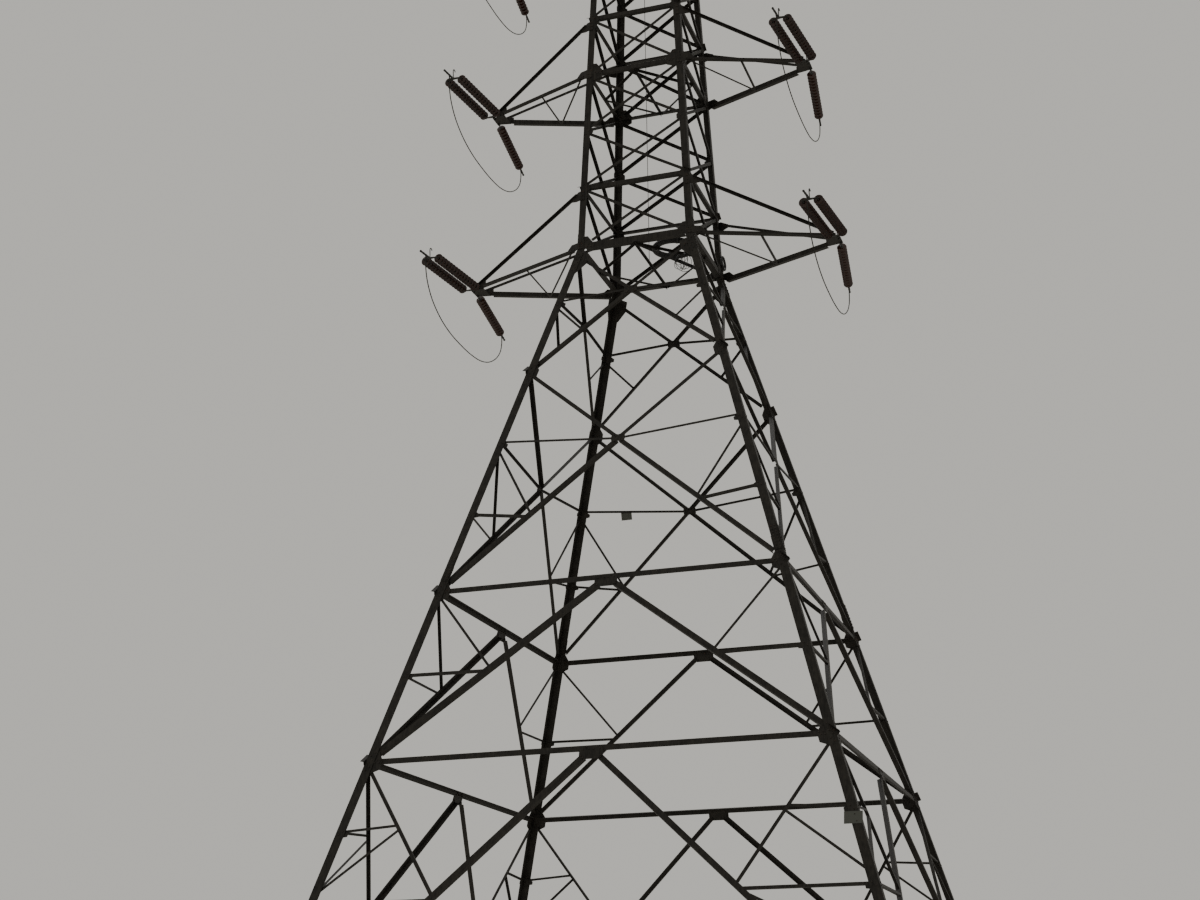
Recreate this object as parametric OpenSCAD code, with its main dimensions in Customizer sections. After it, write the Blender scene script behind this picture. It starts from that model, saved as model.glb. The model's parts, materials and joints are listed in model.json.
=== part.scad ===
// Lattice transmission pylon: a four-legged steel tension tower with three pairs of
// cross-arms, strain insulator sets and hanging jumpers. Millimetres, +Z up, origin on
// the ground at the middle of the base, cross-arms along X, the line running along Y.

/* [Tower body] */
// Height of the waist, where the legs bend and the lowest cross-arms start
waist_z = 20680; // [20000:10:21400]
// Half of the body's width at the waist
waist_half = 1560; // [1460:10:1660]
// Outward run of a leg for each millimetre of fall, below the waist
low_slope = 0.274; // [0.26:0.001:0.29]
// Inward run of a leg for each millimetre of rise, above the waist
up_slope = 0.04; // [0.03:0.001:0.05]
// Height of the lower ring of horizontals
ring_low_z = 7000; // [6800:10:7200]
// Height of the upper ring of horizontals
ring_mid_z = 11080; // [10900:10:11280]
// Height where the two crossed panels meet between ring and waist
joint_z = 17020; // [16800:10:17200]
// Height from one pair of cross-arms to the next
arm_step = 5250; // [5100:10:5400]
// Height of the upper horizontals above the level of a cross-arm
cage_rise = 1820; // [1700:10:1900]
// Height of the earth-wire peak above the legs
peak_high = 4600; // [4200:10:5000]

/* [Steel sections] */
// Flange width of the legs up to the upper ring
leg_low_w = 205; // [198:1:220]
// Flange width of the legs from the upper ring to the waist
leg_mid_w = 195; // [188:1:197]
// Flange width of the legs above the waist
leg_up_w = 180; // [170:1:187]
// Flange thickness of the legs below the waist
leg_low_t = 18; // [16:1:20]
// Flange thickness of the legs above the waist
leg_up_t = 14; // [12:1:16]
// Thickness of the gusset plates below the waist
plate_low_t = 12; // [10:1:14]
// Thickness of the gusset plates above the waist
plate_up_t = 10; // [8:1:12]
// Flange width of the ring horizontals
ring_w = 135; // [120:1:145]
// Flange width of the main diagonals under the rings
main_w = 125; // [112:1:134]
// Flange width of the crossed diagonals between ring and waist
cross_w = 90; // [80:1:100]
// Flange width of the crossed diagonals above the waist
cage_w = 80; // [70:1:90]
// Flange width of the horizontals above the waist
beam_w = 110; // [100:1:120]
// Flange width of the horizontals at the waist
waist_beam_w = 170; // [160:1:180]
// Flange width of the secondary bars
tie_w = 60; // [50:1:65]
// Flange thickness of the ring horizontals and main diagonals
main_t = 10; // [8:1:12]
// Flange thickness of the crossed diagonals and horizontals
cross_t = 8; // [6:1:9]
// Flange thickness of the secondary bars
tie_t = 6; // [5:1:7]
// Flange width of the struts that carry two secondary bars
strut_w = 75; // [66:1:85]
// Flange thickness of those struts
strut_t = 8; // [7:1:9]

/* [Cross-arms] */
// Distance of the lowest arm tips from the tower's axis
arm_low_reach = 5050; // [4900:10:5200]
// Distance of the middle arm tips from the tower's axis
arm_mid_reach = 4500; // [4400:10:4650]
// Distance of the top arm tips from the tower's axis
arm_top_reach = 4350; // [4200:10:4390]
// Height of the top chords where they leave the body, above the bottom chords
arm_rise = 1650; // [1550:10:1750]
// Flange width of the bottom chords
chord_w = 125; // [115:1:135]
// Flange width of the top chords
top_chord_w = 75; // [68:1:82]
// Flange thickness of the arm chords
chord_t = 9; // [8:1:11]
// Half of the distance between the two bottom chords at the arm tip
tip_half = 160; // [140:1:180]
// Thickness of the arm tip plate
tip_t = 16; // [14:1:20]
// Distance from the ends of the chords to the pin holes at the tip
chord_back = 70; // [65:1:90]

/* [Insulator sets] */
// Number of discs in one string
disc_count = 15; // [14:1:15]
// Pitch from one disc to the next
disc_pitch = 146; // [140:1:148]
// Diameter of one disc
disc_d = 255; // [240:1:265]
// Distance between the two strings of a double set
string_gap = 380; // [340:1:420]
// Swing of the near sets towards -X, in degrees
near_turn = 5.6; // [4:0.1:7]
// Fall of the near sets, in degrees
near_fall = 1; // [0:0.1:2]
// Swing of the far sets towards -X, in degrees
far_turn = 6.5; // [5:0.1:8]
// Fall of the far sets, in degrees
far_fall = 3.2; // [2.5:0.1:4]
// Diameter of the jumper cable
jumper_d = 28; // [24:1:32]

/* [Plate and cable coil] */
// Width of the number plate
sign_w = 300; // [270:5:330]
// Height of the number plate
sign_h = 220; // [200:5:240]
// Diameter of the coil of spare cable, from middle to middle
coil_d = 960; // [900:10:1000]
// Thickness of the bundle of that coil
coil_thick = 170; // [140:5:190]

/* [Footings] */
// Height of a footing's top above the ground
footing_h = 300; // [250:5:350]
// Width of a footing at its top
footing_top = 640; // [600:5:680]
// Width of a footing on the ground
footing_base = 900; // [850:5:950]

/* [Hidden] */

steel = "#6f7478";
porcelain = "#4a3228";
cable = "#8f9397";
concrete = "#9a958c";
signs = "#c9ccd0";

// Lean of the faces from the upright
low_a = atan(low_slope);
up_a = atan(up_slope);
// Lean of a leg within its face
low_b = atan(sin(low_a));
up_b = atan(sin(up_a));
// Depth of the bars behind the outer face of the legs
low_lay = leg_low_t + plate_low_t;
up_lay = leg_up_t + plate_up_t;
// Distance from the corner line to the ends of the bars
main_inset = low_lay + ring_w + 10;
tie_inset = low_lay + tie_w + 20;
cage_inset = up_lay + beam_w + 8;
// Distance from the corner line to the edge of the gusset plates
gusset_inset = low_lay + 10;
// Half of the gap where two lengths butt, at a crossing and at the waist
mid_gap = 0.2;
// Depth by which plates and bars of one piece run into each other
weld = 2;
// Levels of the body above the waist, three to each pair of arms
cage_levels = [for (arm = [0:1:1]) for (z = [0, cage_rise, (cage_rise + arm_step) / 2])
    waist_z + arm * arm_step + z];
top_arm_z = waist_z + 2 * arm_step;
cage_z = concat(cage_levels, [top_arm_z, top_arm_z + cage_rise]);
// Level where the peak stands on the legs, and its top
peak_foot_z = top_arm_z + cage_rise + 100;
peak_z = peak_foot_z + peak_high;
// Clearance of the horizontals above the levels of the arms, and of the bars above them
beam_clear = 8;
// Flange width of the horizontal at an arm's level, and height of its middle there
function level_beam_w(arm) = arm == 0 ? waist_beam_w : beam_w;
function level_beam_rise(arm) = beam_clear + level_beam_w(arm) / 2;
// Size of the blocks that cut ends flat
far = 60000;

// Place up the slope of a face, and half of the body's width there
function low_s(z) = (z - waist_z) / cos(low_a);
function low_half(z) = waist_half + low_slope * (waist_z - z);
function up_s(z) = (z - waist_z) / cos(up_a);
function up_half(z) = waist_half - up_slope * (z - waist_z);
// Point in a face: share of the half width to the left, and height
function low_pt(share, z) = [-share * low_half(z), low_s(z)];
function up_pt(share, z) = [-share * up_half(z), up_s(z)];
function mix(a, b, t) = a * (1 - t) + b * t;
function unit(v) = v / norm(v);
// Length to cut off a bar that runs from a on a leg line to b, so that its end stays
// the inset away from that line
function leg_cut(a, b, w, inset, lean) =
    let (run = atan2(b[1] - a[1], abs(b[0] - a[0])), turn = abs(90 - lean - run))
    (inset + w / 2 * abs(cos(turn))) / sin(turn);

// A face of the tower as a flat frame: x across, y up the slope, z outwards
module low_face(turn)
    rotate([0, 0, 90 * turn]) translate([0, -waist_half, waist_z]) rotate([90 - low_a, 0, 0])
        children();

module up_face(turn)
    rotate([0, 0, 90 * turn]) translate([0, -waist_half, waist_z]) rotate([90 - up_a, 0, 0])
        children();

module both_sides() {
    children();
    mirror([1, 0, 0]) children();
}

// Angle section along x, with its flat flange under z = 0 and the other one inwards
module angle_bar(length, w, t, side) {
    e = side * w / 2;
    f = side * (w / 2 - t);
    rotate([90, 0, 90])
        linear_extrude(length)
            polygon([[-e, 0], [e, 0], [e, -w], [f, -w], [f, -t], [-e, -t]]);
}

// Angle section from a to b in the face, shortened at its ends
module bar(a, b, w, t, cut_a = 0, cut_b = 0, side = 1) {
    translate([a[0], a[1], 0])
        rotate([0, 0, atan2(b[1] - a[1], b[0] - a[0])])
            translate([cut_a, 0, 0])
                angle_bar(norm(b - a) - cut_a - cut_b, w, t, side);
}

// Bar from a node on the left leg below the waist
module leg_bar(z, b, w, t, inset, cut_b = 0, side = 1) {
    a = low_pt(1, z);
    bar(a, b, w, t, leg_cut(a, b, w, inset, low_b), cut_b, side);
}

// Flat flange between points a and b of the left corner line, from edge to width w. At
// each corner the flange of one face starts at the line, and that of the other behind it
module flange(a, b, lean, edge, w, t) {
    x0 = [edge / cos(lean), 0];
    x1 = [w / cos(lean), 0];
    translate([0, 0, -t]) linear_extrude(t) polygon([a + x0, a + x1, b + x1, b + x0]);
}

// Gusset plate behind the leg flange, for the bars that meet there
module gusset_shape(edge, reach, down, up)
    polygon([[edge, -down], [reach * 0.55, -down], [reach, -down * 0.45],
        [reach, up * 0.4], [reach * 0.6, up], [edge, up]]);

module low_gusset(z, reach, down, up)
    translate([low_pt(1, z)[0], low_s(z), -low_lay])
        rotate([0, 0, -low_b])
            linear_extrude(plate_low_t + weld) gusset_shape(gusset_inset, reach, down, up);

module up_gusset(z, reach, down, up)
    translate([up_pt(1, z)[0], up_s(z), -up_lay])
        rotate([0, 0, -up_b])
            linear_extrude(plate_up_t + weld) gusset_shape(gusset_inset, reach, down, up);

// What one face holds of the near left leg
module low_leg_side(edge) {
    flange(low_pt(1, footing_h - 200), low_pt(1, leg_splice_z), low_b, edge, leg_low_w, leg_low_t);
    flange(low_pt(1, leg_splice_z), low_pt(1, waist_z + 10), low_b, edge, leg_mid_w, leg_low_t);
    low_gusset(base_node_z, 340, 100, 280);
    for (z = [tie_1_z, tie_2_z, tie_3_z, low_tie_z, cross_tie_z[0], cross_tie_z[1], neck_tie_z])
        low_gusset(z, 285, 90, 90);
    low_gusset(ring_low_z, 390, 230, 300);
    low_gusset(ring_mid_z, 350, 200, 290);
    low_gusset(joint_z, 300, 250, 250);
    low_gusset(neck_top_z, 400, 560, 60);
}

module up_leg_side(edge) {
    flange(up_pt(1, waist_z), up_pt(1, peak_foot_z + 100), up_b, edge, leg_up_w, leg_up_t);
    for (i = [0:1:len(cage_z) - 1])
        if (i % 3 == 0)
            up_gusset(cage_z[i], 440, i == 0 ? 10 : 150, 370);
        else
            up_gusset(cage_z[i], 260, 140, i == len(cage_z) - 1 ? 90 : 140);
}

// Everything between two heights
module between(z0, z1)
    translate([-far / 2, -far / 2, z0]) cube([far, far, z1 - z0]);

// One corner leg in two lengths that butt at the waist
module leg(turn)
    color(steel) rotate([0, 0, 90 * turn]) {
        intersection() {
            union() {
                low_face(0) low_leg_side(0);
                low_face(3) mirror([1, 0, 0]) low_leg_side(weld);
            }
            between(footing_h, waist_z - mid_gap);
        }
        intersection() {
            union() {
                up_face(0) up_leg_side(0);
                up_face(3) mirror([1, 0, 0]) up_leg_side(weld);
            }
            between(waist_z + mid_gap, peak_foot_z);
        }
    }

// Nodes of the bracing under the lower ring, from the ring down
base_node_z = 420;
tie_1_z = 5430;
tie_2_z = 3880;
tie_3_z = 2150;
// Nodes on the legs between the rings, and in the crossed panels above them
low_tie_z = (ring_low_z + ring_mid_z) / 2;
cross_tie_z = [13100, 14980];
neck_tie_z = 19030;
neck_top_z = waist_z - 140;
// Height where the legs change from the wide to the narrower section
leg_splice_z = ring_mid_z + 600;
// Shortening of the diagonals under the middle of a ring
peak_cut = 250;
// Distance between two secondary bars that meet a leg or a diagonal at one node
node_gap = 120;
// Lap of a secondary bar over the edge of the bar that it meets
tie_lap = 25;

// Secondary bar from a leg node to point b on a bar of width w, which runs towards c
module tie(z, b, c, w, inset, side = 1, own_w = tie_w, own_t = tie_t) {
    a = low_pt(1, z);
    turn = abs(cross(unit(b - a), unit(c - b)));
    bar(a, b, own_w, own_t, leg_cut(a, b, own_w, inset, low_b), (w / 2 - tie_lap) / turn, side);
}

// Left half of the inverted V under the lower ring, with its secondary bars
module base_half_low() {
    top = low_pt(0, ring_low_z);
    foot = low_pt(1, base_node_z);
    fall = ring_low_z - base_node_z;
    q = mix(top, foot, (ring_low_z - tie_2_z) / fall);
    q_low = mix(top, foot, (ring_low_z - tie_3_z) / fall);
    spread = node_gap * unit(top - foot);
    corner = low_pt(1, ring_low_z);
    strut = mix(corner, q + spread, (ring_low_z - tie_1_z) / (ring_low_z - tie_2_z));
    strut_spread = node_gap / 2 * unit(corner - q - spread);
    leg_bar(base_node_z, top, main_w, main_t, main_inset, peak_cut, -1);
    tie(ring_low_z, q + spread, top, main_w, tie_inset + 40, 1, strut_w, strut_t);
    tie(tie_1_z, strut + strut_spread, q, strut_w, tie_inset);
    tie(tie_2_z + node_gap, strut - strut_spread, q, strut_w, tie_inset);
    tie(tie_2_z, q, top, main_w, tie_inset, -1);
    tie(tie_3_z + node_gap, q - spread, top, main_w, tie_inset);
    tie(tie_3_z, q_low, top, main_w, tie_inset, -1);
}

// Left half of the inverted V between the rings
module base_half_high() {
    top = low_pt(0, ring_mid_z);
    middle = mix(top, low_pt(1, ring_low_z), 0.5);
    spread = node_gap / 2 * unit(top - middle);
    leg_bar(ring_low_z, top, main_w, main_t, main_inset, peak_cut, -1);
    tie(ring_mid_z, middle + spread, top, main_w, tie_inset + 60);
    tie(low_tie_z, middle - spread, top, main_w, tie_inset, -1);
}

// Left half of a crossed panel, from leg node z0 to leg node z1
module cross_half(z0, z1, w, t, tie_z, extra_z) {
    low = low_pt(1, z0);
    high = low_pt(1, z1);
    share = low_half(z0) / (low_half(z0) + low_half(z1));
    centre = [0, mix(low_s(z0), low_s(z1), share)];
    half_way = mix(low, centre, 0.5);
    spread = node_gap / 2 * unit(centre - low);
    leg_bar(z0, centre, w, t, main_inset, w * 0.6, -1);
    leg_bar(z1, centre, w, t, main_inset, w * 0.6);
    translate([0, centre[1], 0])
        linear_extrude(plate_low_t)
            polygon([[-mid_gap, -90], [-110, -120], [-170, -70], [-170, 70], [-110, 120],
                [-mid_gap, 90]]);
    leg_bar(tie_z + node_gap / 2, centre - [110, 0], tie_w, tie_t, tie_inset);
    tie(tie_z - node_gap / 2, half_way + spread, centre, w, tie_inset);
    if (extra_z > 0)
        tie(extra_z, half_way - spread, centre, w, tie_inset, -1);
}

module base_bracing(turn)
    color(steel) low_face(turn) translate([0, 0, -low_lay]) both_sides() {
        base_half_low();
        base_half_high();
    }

module body_bracing(turn)
    color(steel) low_face(turn) translate([0, 0, -low_lay]) both_sides() {
        cross_half(ring_mid_z, joint_z, cross_w + 10, cross_t, cross_tie_z[1], cross_tie_z[0]);
        cross_half(joint_z, neck_top_z, cross_w, cross_t, neck_tie_z, 0);
    }

// One ring: four horizontals, each with the plate that the diagonals below it hang on
module ring(z) {
    a = low_pt(1, z);
    cut = leg_cut(a, low_pt(-1, z), ring_w, main_inset, low_b);
    color(steel) for (turn = [0:1:3]) low_face(turn) translate([0, 0, -low_lay]) {
        bar(a, low_pt(-1, z), ring_w, main_t, cut, cut);
        translate([0, low_s(z), 0])
            linear_extrude(plate_low_t)
                polygon([[-230, 50], [-270, -40], [-270, -190], [-200, -250], [200, -250],
                    [270, -190], [270, -40], [230, 50]]);
    }
}

// Crossed bars and horizontals of one side of the body above the waist
module cage_bracing(turn)
    color(steel) up_face(turn) translate([0, 0, -up_lay]) {
        for (i = [0:1:len(cage_z) - 2]) both_sides() {
            a = up_pt(1, cage_z[i]);
            b = up_pt(-1, cage_z[i + 1]);
            rise = atan2(b[1] - a[1], b[0] - a[0]);
            over_beam = (level_beam_w(i / 3) + 2 * beam_clear + cage_w / 2 / cos(rise)) / sin(rise);
            bar(a, b, cage_w, cross_t,
                i % 3 == 0 ? over_beam : leg_cut(a, b, cage_w, cage_inset, up_b),
                leg_cut(b, a, cage_w, cage_inset, -up_b));
        }
        for (arm = [0:1:2]) {
            level_beam(arm * arm_step + level_beam_rise(arm), level_beam_w(arm));
            level_beam(arm * arm_step + cage_rise, beam_w);
        }
    }

// Horizontal of one side of the body at a height above the waist
module level_beam(rise, w) {
    a = up_pt(1, waist_z + rise);
    cut = up_lay + w + 28;
    bar(a, [-a[0], a[1]], w, cross_t, cut, cut, -1);
}

// Flat bracing across the inside of the body, hung under the lowest edges of the
// horizontals of the arms
seat = 0.3;
function plan_z(arm) = waist_z + arm * arm_step + level_beam_rise(arm)
    - level_beam_w(arm) / 2 * cos(up_a) - (up_lay + level_beam_w(arm)) * sin(up_a) - seat;

// Four bars from the middle of one side to the middle of the next, and one straight across
module plan_frame(z) {
    half = up_half(z) - up_lay - 45;
    translate([0, 0, z]) {
        translate([0, 0, -tie_t / 2]) bar([0, -half], [0, half], tie_w, tie_t, -20, -20);
        for (sx = [-1, 1]) for (sy = [-1, 1])
            bar([0, sy * half], [sx * half, 0], tie_w, tie_t, 45, 0, -sx * sy);
    }
}

module plan_bracing()
    color(steel) for (arm = [0:1:2]) plan_frame(plan_z(arm));

// Earth-wire peak: four legs that close towards the top, crossed bars and a cap
peak_foot_half = up_half(peak_foot_z);
peak_top_half = 150;
peak_slope = (peak_foot_half - peak_top_half) / (peak_z - peak_foot_z);
peak_a = atan(peak_slope);
peak_b = atan(sin(peak_a));
peak_leg_w = 100;
peak_tie_w = 50;
peak_leg_t = 10;
peak_cap_t = 16;
peak_inset = 60;
wire_hole_d = 26;
wire_hole_y = 230;
function peak_s(z) = (z - peak_foot_z) / cos(peak_a);
function peak_half(z) = peak_foot_half - peak_slope * (z - peak_foot_z);
function peak_pt(share, z) = [-share * peak_half(z), peak_s(z)];
peak_levels = [for (t = [0.02, 0.36, 0.66, 0.9]) mix(peak_foot_z, peak_z, t)];

module peak_face(turn)
    rotate([0, 0, 90 * turn]) translate([0, -peak_foot_half, peak_foot_z])
        rotate([90 - peak_a, 0, 0]) children();

module peak_side() {
    foot = peak_pt(1, peak_foot_z - 100);
    top = peak_pt(1, peak_z + 100);
    flange(foot, top, peak_b, 0, peak_leg_w, peak_leg_t);
    mirror([1, 0, 0]) flange(foot, top, peak_b, weld, peak_leg_w, peak_leg_t);
    translate([0, 0, -peak_leg_t]) {
        for (i = [0:1:len(peak_levels) - 2]) both_sides()
            bar(peak_pt(1, peak_levels[i]), peak_pt(-1, peak_levels[i + 1]), peak_tie_w, tie_t,
                peak_inset + 25, peak_inset + 25);
        for (z = peak_levels)
            bar(peak_pt(1, z), peak_pt(-1, z), peak_tie_w, tie_t, peak_inset, peak_inset, -1);
    }
}

module earth_wire_peak()
    color(steel) {
        intersection() {
            union() for (turn = [0:1:3]) peak_face(turn) peak_side();
            between(peak_foot_z, peak_z - peak_cap_t + weld);
        }
        translate([0, 0, peak_z - peak_cap_t]) linear_extrude(peak_cap_t) difference() {
            square([2 * peak_top_half + 60, 2 * wire_hole_y + 80], center = true);
            for (y = [-1, 1]) translate([0, y * wire_hole_y]) circle(d = wire_hole_d, $fn = 32);
        }
    }

// Cross-arm: two side trusses from the legs to the tip, a floor of thin bars and a plate
function arm_z(level) = waist_z + level * arm_step;
function arm_reach(level) = [arm_low_reach, arm_mid_reach, arm_top_reach][level];

module in_plane(origin, x_dir, up_dir) {
    ex = unit(x_dir);
    ez = unit(cross(x_dir, up_dir));
    ey = cross(ez, ex);
    multmatrix([[ex[0], ey[0], ez[0], origin[0]], [ex[1], ey[1], ez[1], origin[1]],
        [ex[2], ey[2], ez[2], origin[2]], [0, 0, 0, 1]])
        children();
}

// Gap between a leg and the ends of the chords, and length over which the outer flange of
// a bottom chord is cut away at the tip, clear of the yoke plate
chord_gap = 90;
chord_cope = 360;
// Height of the end plates above and below the middle of a chord. At the waist they stop
// above the bend of the legs
root_up = 190;
function root_down(level) = level == 0 ? -4 : 80;
high_up = 60;
high_down = 210;

// Angle section whose second flange points out of the truss, sunk into the end plates
module outer_bar(a, b, w, t, cut_a, cut_b, side)
    translate([0, 0, weld - t]) mirror([0, 0, 1]) bar(a, b, w, t, cut_a, cut_b, side);

// Near side truss of a right-hand arm
module arm_side(level) {
    z = arm_z(level);
    half = up_half(z);
    root = [half, -half, z];
    high_half = up_half(z + arm_rise);
    high = [high_half, -high_half, z + arm_rise];
    tip = [arm_reach(level) - chord_back, -tip_half, z];
    out = unit(tip - root);
    high_x = (high - root) * out;
    high_y = norm(high - root - high_x * out);
    run = norm(tip - root);
    edge = chord_w / 2;
    in_plane(root, tip - root, high - root) {
        outer_bar([0, 0], [run, 0], chord_w, chord_t, chord_gap, chord_cope, -1);
        outer_bar([high_x, high_y], [run, 20], top_chord_w, chord_t - 1, chord_gap, chord_back, 1);
        linear_extrude(plate_up_t) {
            polygon([[0, -root_down(level)], [130, 12 - edge], [290, 12 - edge], [330, edge],
                [200, root_up], [0, root_up]]);
            polygon([[high_x - 5, high_y - high_down], [high_x + 130, high_y - high_down],
                [high_x + 300, high_y - high_down + 40], [high_x + 300, high_y - 80],
                [high_x + 60, high_y + high_up], [high_x, high_y + high_up]]);
        }
        // Flat end of the chord, as thick as flange and plate together
        translate([0, 0, weld - chord_t]) linear_extrude(chord_t - weld + plate_up_t)
            polygon([[run - chord_cope - weld, -edge], [run, -edge], [run, edge],
                [run - chord_cope - weld, edge + 70]]);
    }
    // The part of the end plates that is bent round onto the face of the leg
    up_face(0) mirror([1, 0, 0]) linear_extrude(plate_up_t) {
        leg_strap(z - root_down(level), z + root_up, 150);
        leg_strap(z + arm_rise - high_down, z + arm_rise + high_up, 120);
    }
}

// Strip of a leg's face between two heights, from a little outside the corner line
module leg_strap(z0, z1, w)
    polygon([up_pt(1, z0) - [5, 0], up_pt(1, z0) + [w, 0], up_pt(1, z1) + [w, 0],
        up_pt(1, z1) - [5, 0]]);

// Floor of an arm: a strut from chord to chord, and a bar from its far end to the near leg
strut_share = 0.48;
floor_w = 50;
floor_t = 5;

module arm(level, side) {
    z = arm_z(level);
    half = up_half(z);
    reach = arm_reach(level);
    near_mid = mix([half, -half], [reach - chord_back, -tip_half], strut_share);
    far_mid = [near_mid[0], -near_mid[1]];
    color(steel) mirror([side < 0 ? 1 : 0, 0, 0]) {
        arm_side(level);
        mirror([0, 1, 0]) arm_side(level);
        translate([0, 0, z - chord_w / 2 - floor_t - weld]) mirror([0, 0, 1]) {
            bar(near_mid, far_mid, floor_w, floor_t, -25, -60, -1);
            translate([0, 0, floor_t / 2])
                bar([half + 200, -half + 60], far_mid, floor_w, floor_t, -60, 25);
        }
        translate([0, 0, tip_z(level) - tip_t / 2]) tip_plate(reach);
    }
}

// Flat plate under the chords at the tip, with a hole for each set
module tip_plate(reach)
    linear_extrude(tip_t) difference() {
        polygon([[reach - 330, -265], [reach - 90, -215], [reach + 50, -190], [reach + 50, 190],
            [reach - 90, 215], [reach - 330, 265]]);
        for (y = [-1, 1]) translate([reach, y * hang_y]) circle(d = pin_hole_d, $fn = 32);
    }

// Insulator sets. Each is drawn along +X from its hole and then turned to its direction
hang_y = 140;
pin_hole_d = 30;
string_start = 200;
string_len = disc_count * disc_pitch;
yoke_t = 16;

// Height of the middle of the tip plate, which runs a little way up into the chords
function tip_z(level) = arm_z(level) - chord_w / 2 - tip_t / 2 + 2 * weld;

module at_tip(level, side, dir)
    translate([side * arm_reach(level), dir * hang_y, tip_z(level)])
        rotate([0, 0, dir < 0 ? -90 - near_turn : 90 + far_turn])
            rotate([0, dir < 0 ? near_fall : far_fall, 0])
                children();

// Outline of one string: cap, shell and pin of each disc in turn
module string()
    rotate([0, 90, 0]) rotate_extrude($fn = 48)
        polygon(concat([[0, 0]], [for (i = [0:1:disc_count - 1]) for (p = [
            [20, 0], [40, 6], [46, 50], [60, 62], [disc_d / 2, 90], [disc_d / 2, 99],
            [70, 96], [20, 110]]) [p[0], p[1] + i * disc_pitch]],
            [[20, string_len], [0, string_len]]));

module strings(level, side)
    color(porcelain) {
        at_tip(level, side, -1)
            for (y = [-1, 1]) translate([string_start, y * string_gap / 2, 0]) string();
        at_tip(level, side, 1) translate([string_start, 0, 0]) string();
    }

// Link at the tip plate: a pin and two straps, with a block that joins what follows
strap_t = 12;
strap_len = 90;
strap_gap = 5;
strap_w = 50;
pin_d = 28;

module link() {
    half = tip_t / 2 + strap_gap + strap_t;
    for (z = [-1, 1]) translate([0, 0, z * (half - strap_t / 2)])
        linear_extrude(strap_t, center = true) {
            circle(d = 60, $fn = 32);
            translate([0, -strap_w / 2]) square([strap_len, strap_w]);
        }
    cylinder(d = pin_d, h = 2 * half - weld, center = true, $fn = 32);
    translate([strap_len - 22, -strap_w / 2, -half]) cube([30, strap_w, 2 * half]);
}

// Yoke plate between one link and two strings, narrow end first
yoke_len = 90;

module yoke(start, flip)
    translate([start, 0, 0]) mirror([flip, 0, 0]) linear_extrude(yoke_t, center = true)
        polygon([[0, -40], [yoke_len * 0.55, -string_gap / 2 - 40], [yoke_len, -string_gap / 2 - 40],
            [yoke_len, string_gap / 2 + 40], [yoke_len * 0.55, string_gap / 2 + 40], [0, 40]]);

module stem(start, length, d)
    translate([start, 0, 0]) rotate([0, 90, 0]) cylinder(d = d, h = length, $fn = 32);

// Compression clamp at the live end, with a socket for the line's conductor
clamp_d = 52;
clamp_len = 420;
socket_len = 120;
socket_d = 29;

module clamp(start) {
    stem(start, 60, 34);
    difference() {
        stem(start + 50, clamp_len, clamp_d);
        stem(start + 50 + clamp_len - socket_len, socket_len + 1, socket_d);
    }
}

// Socket that the jumper hangs from, upright over the end of its route
module jumper_socket(level, side, place, rise)
    translate([side * arm_reach(level), 0, arm_z(level)] + place)
        cylinder(d = 44, h = rise, $fn = 32);

module fittings(level, side)
    color(cable) {
        live = string_start + string_len;
        at_tip(level, side, -1) {
            link();
            yoke(strap_len, 0);
            for (y = [-1, 1]) translate([0, y * string_gap / 2, 0]) {
                stem(strap_len + yoke_len - 10, string_start - strap_len - yoke_len + 10 - seat, 34);
                stem(live + seat, 30, 34);
            }
            yoke(live + 20 + yoke_len, 1);
            clamp(live + 10 + yoke_len);
        }
        at_tip(level, side, 1) {
            link();
            stem(strap_len, string_start - strap_len - seat, 34);
            clamp(live + seat);
        }
        jumper_socket(level, side, jumper_route[0], 60);
        jumper_socket(level, side, jumper_route[len(jumper_route) - 1], 60);
    }

// Jumper route from the near clamp to the far one, measured from over the pin holes
jumper_route = [
    [-260, -2790, -170], [-262, -2780, -465], [-270, -2620, -825], [-280, -2260, -1175],
    [-285, -1700, -1455], [-290, -1040, -1610], [-290, -320, -1670], [-290, 400, -1670],
    [-290, 1100, -1590], [-290, 1720, -1395], [-290, 2240, -1090], [-290, 2560, -770],
    [-290, 2670, -495], [-290, 2680, -270]
];
jumper_sides = 8;
jumper_steps = 3;

function smooth(p, i, t) =
    let (a = p[max(i - 1, 0)], b = p[i], c = p[i + 1], d = p[min(i + 2, len(p) - 1)])
    0.5 * (2 * b + (c - a) * t + (2 * a - 5 * b + 4 * c - d) * t * t
        + (3 * b - a - 3 * c + d) * t * t * t);

function along(p) = concat([for (i = [0:1:len(p) - 2]) for (k = [0:1:jumper_steps - 1])
    smooth(p, i, k / jumper_steps)], [p[len(p) - 1]]);

module tube(route, d) {
    line = along(route);
    n = len(line);
    rings = [for (i = [0:1:n - 1])
        let (dir = i == 0 ? [0, 0, -1] : i == n - 1 ? [0, 0, 1] : unit(line[i + 1] - line[i - 1]),
            u = unit(cross([1, 0, 0], dir)), v = cross(dir, u))
        for (k = [0:1:jumper_sides - 1]) line[i]
            + d / 2 * (cos(360 * k / jumper_sides) * u + sin(360 * k / jumper_sides) * v)];
    walls = [for (i = [0:1:n - 2]) for (k = [0:1:jumper_sides - 1])
        let (a = i * jumper_sides + k, b = i * jumper_sides + (k + 1) % jumper_sides)
        [b, a, a + jumper_sides, b + jumper_sides]];
    start = [for (k = [0:1:jumper_sides - 1]) k];
    end = [for (k = [jumper_sides - 1:-1:0]) (n - 1) * jumper_sides + k];
    polyhedron(rings, concat([start, end], walls));
}

module jumper(level, side)
    color(cable) translate([side * arm_reach(level), 0, arm_z(level)])
        tube(jumper_route, jumper_d);

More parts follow.
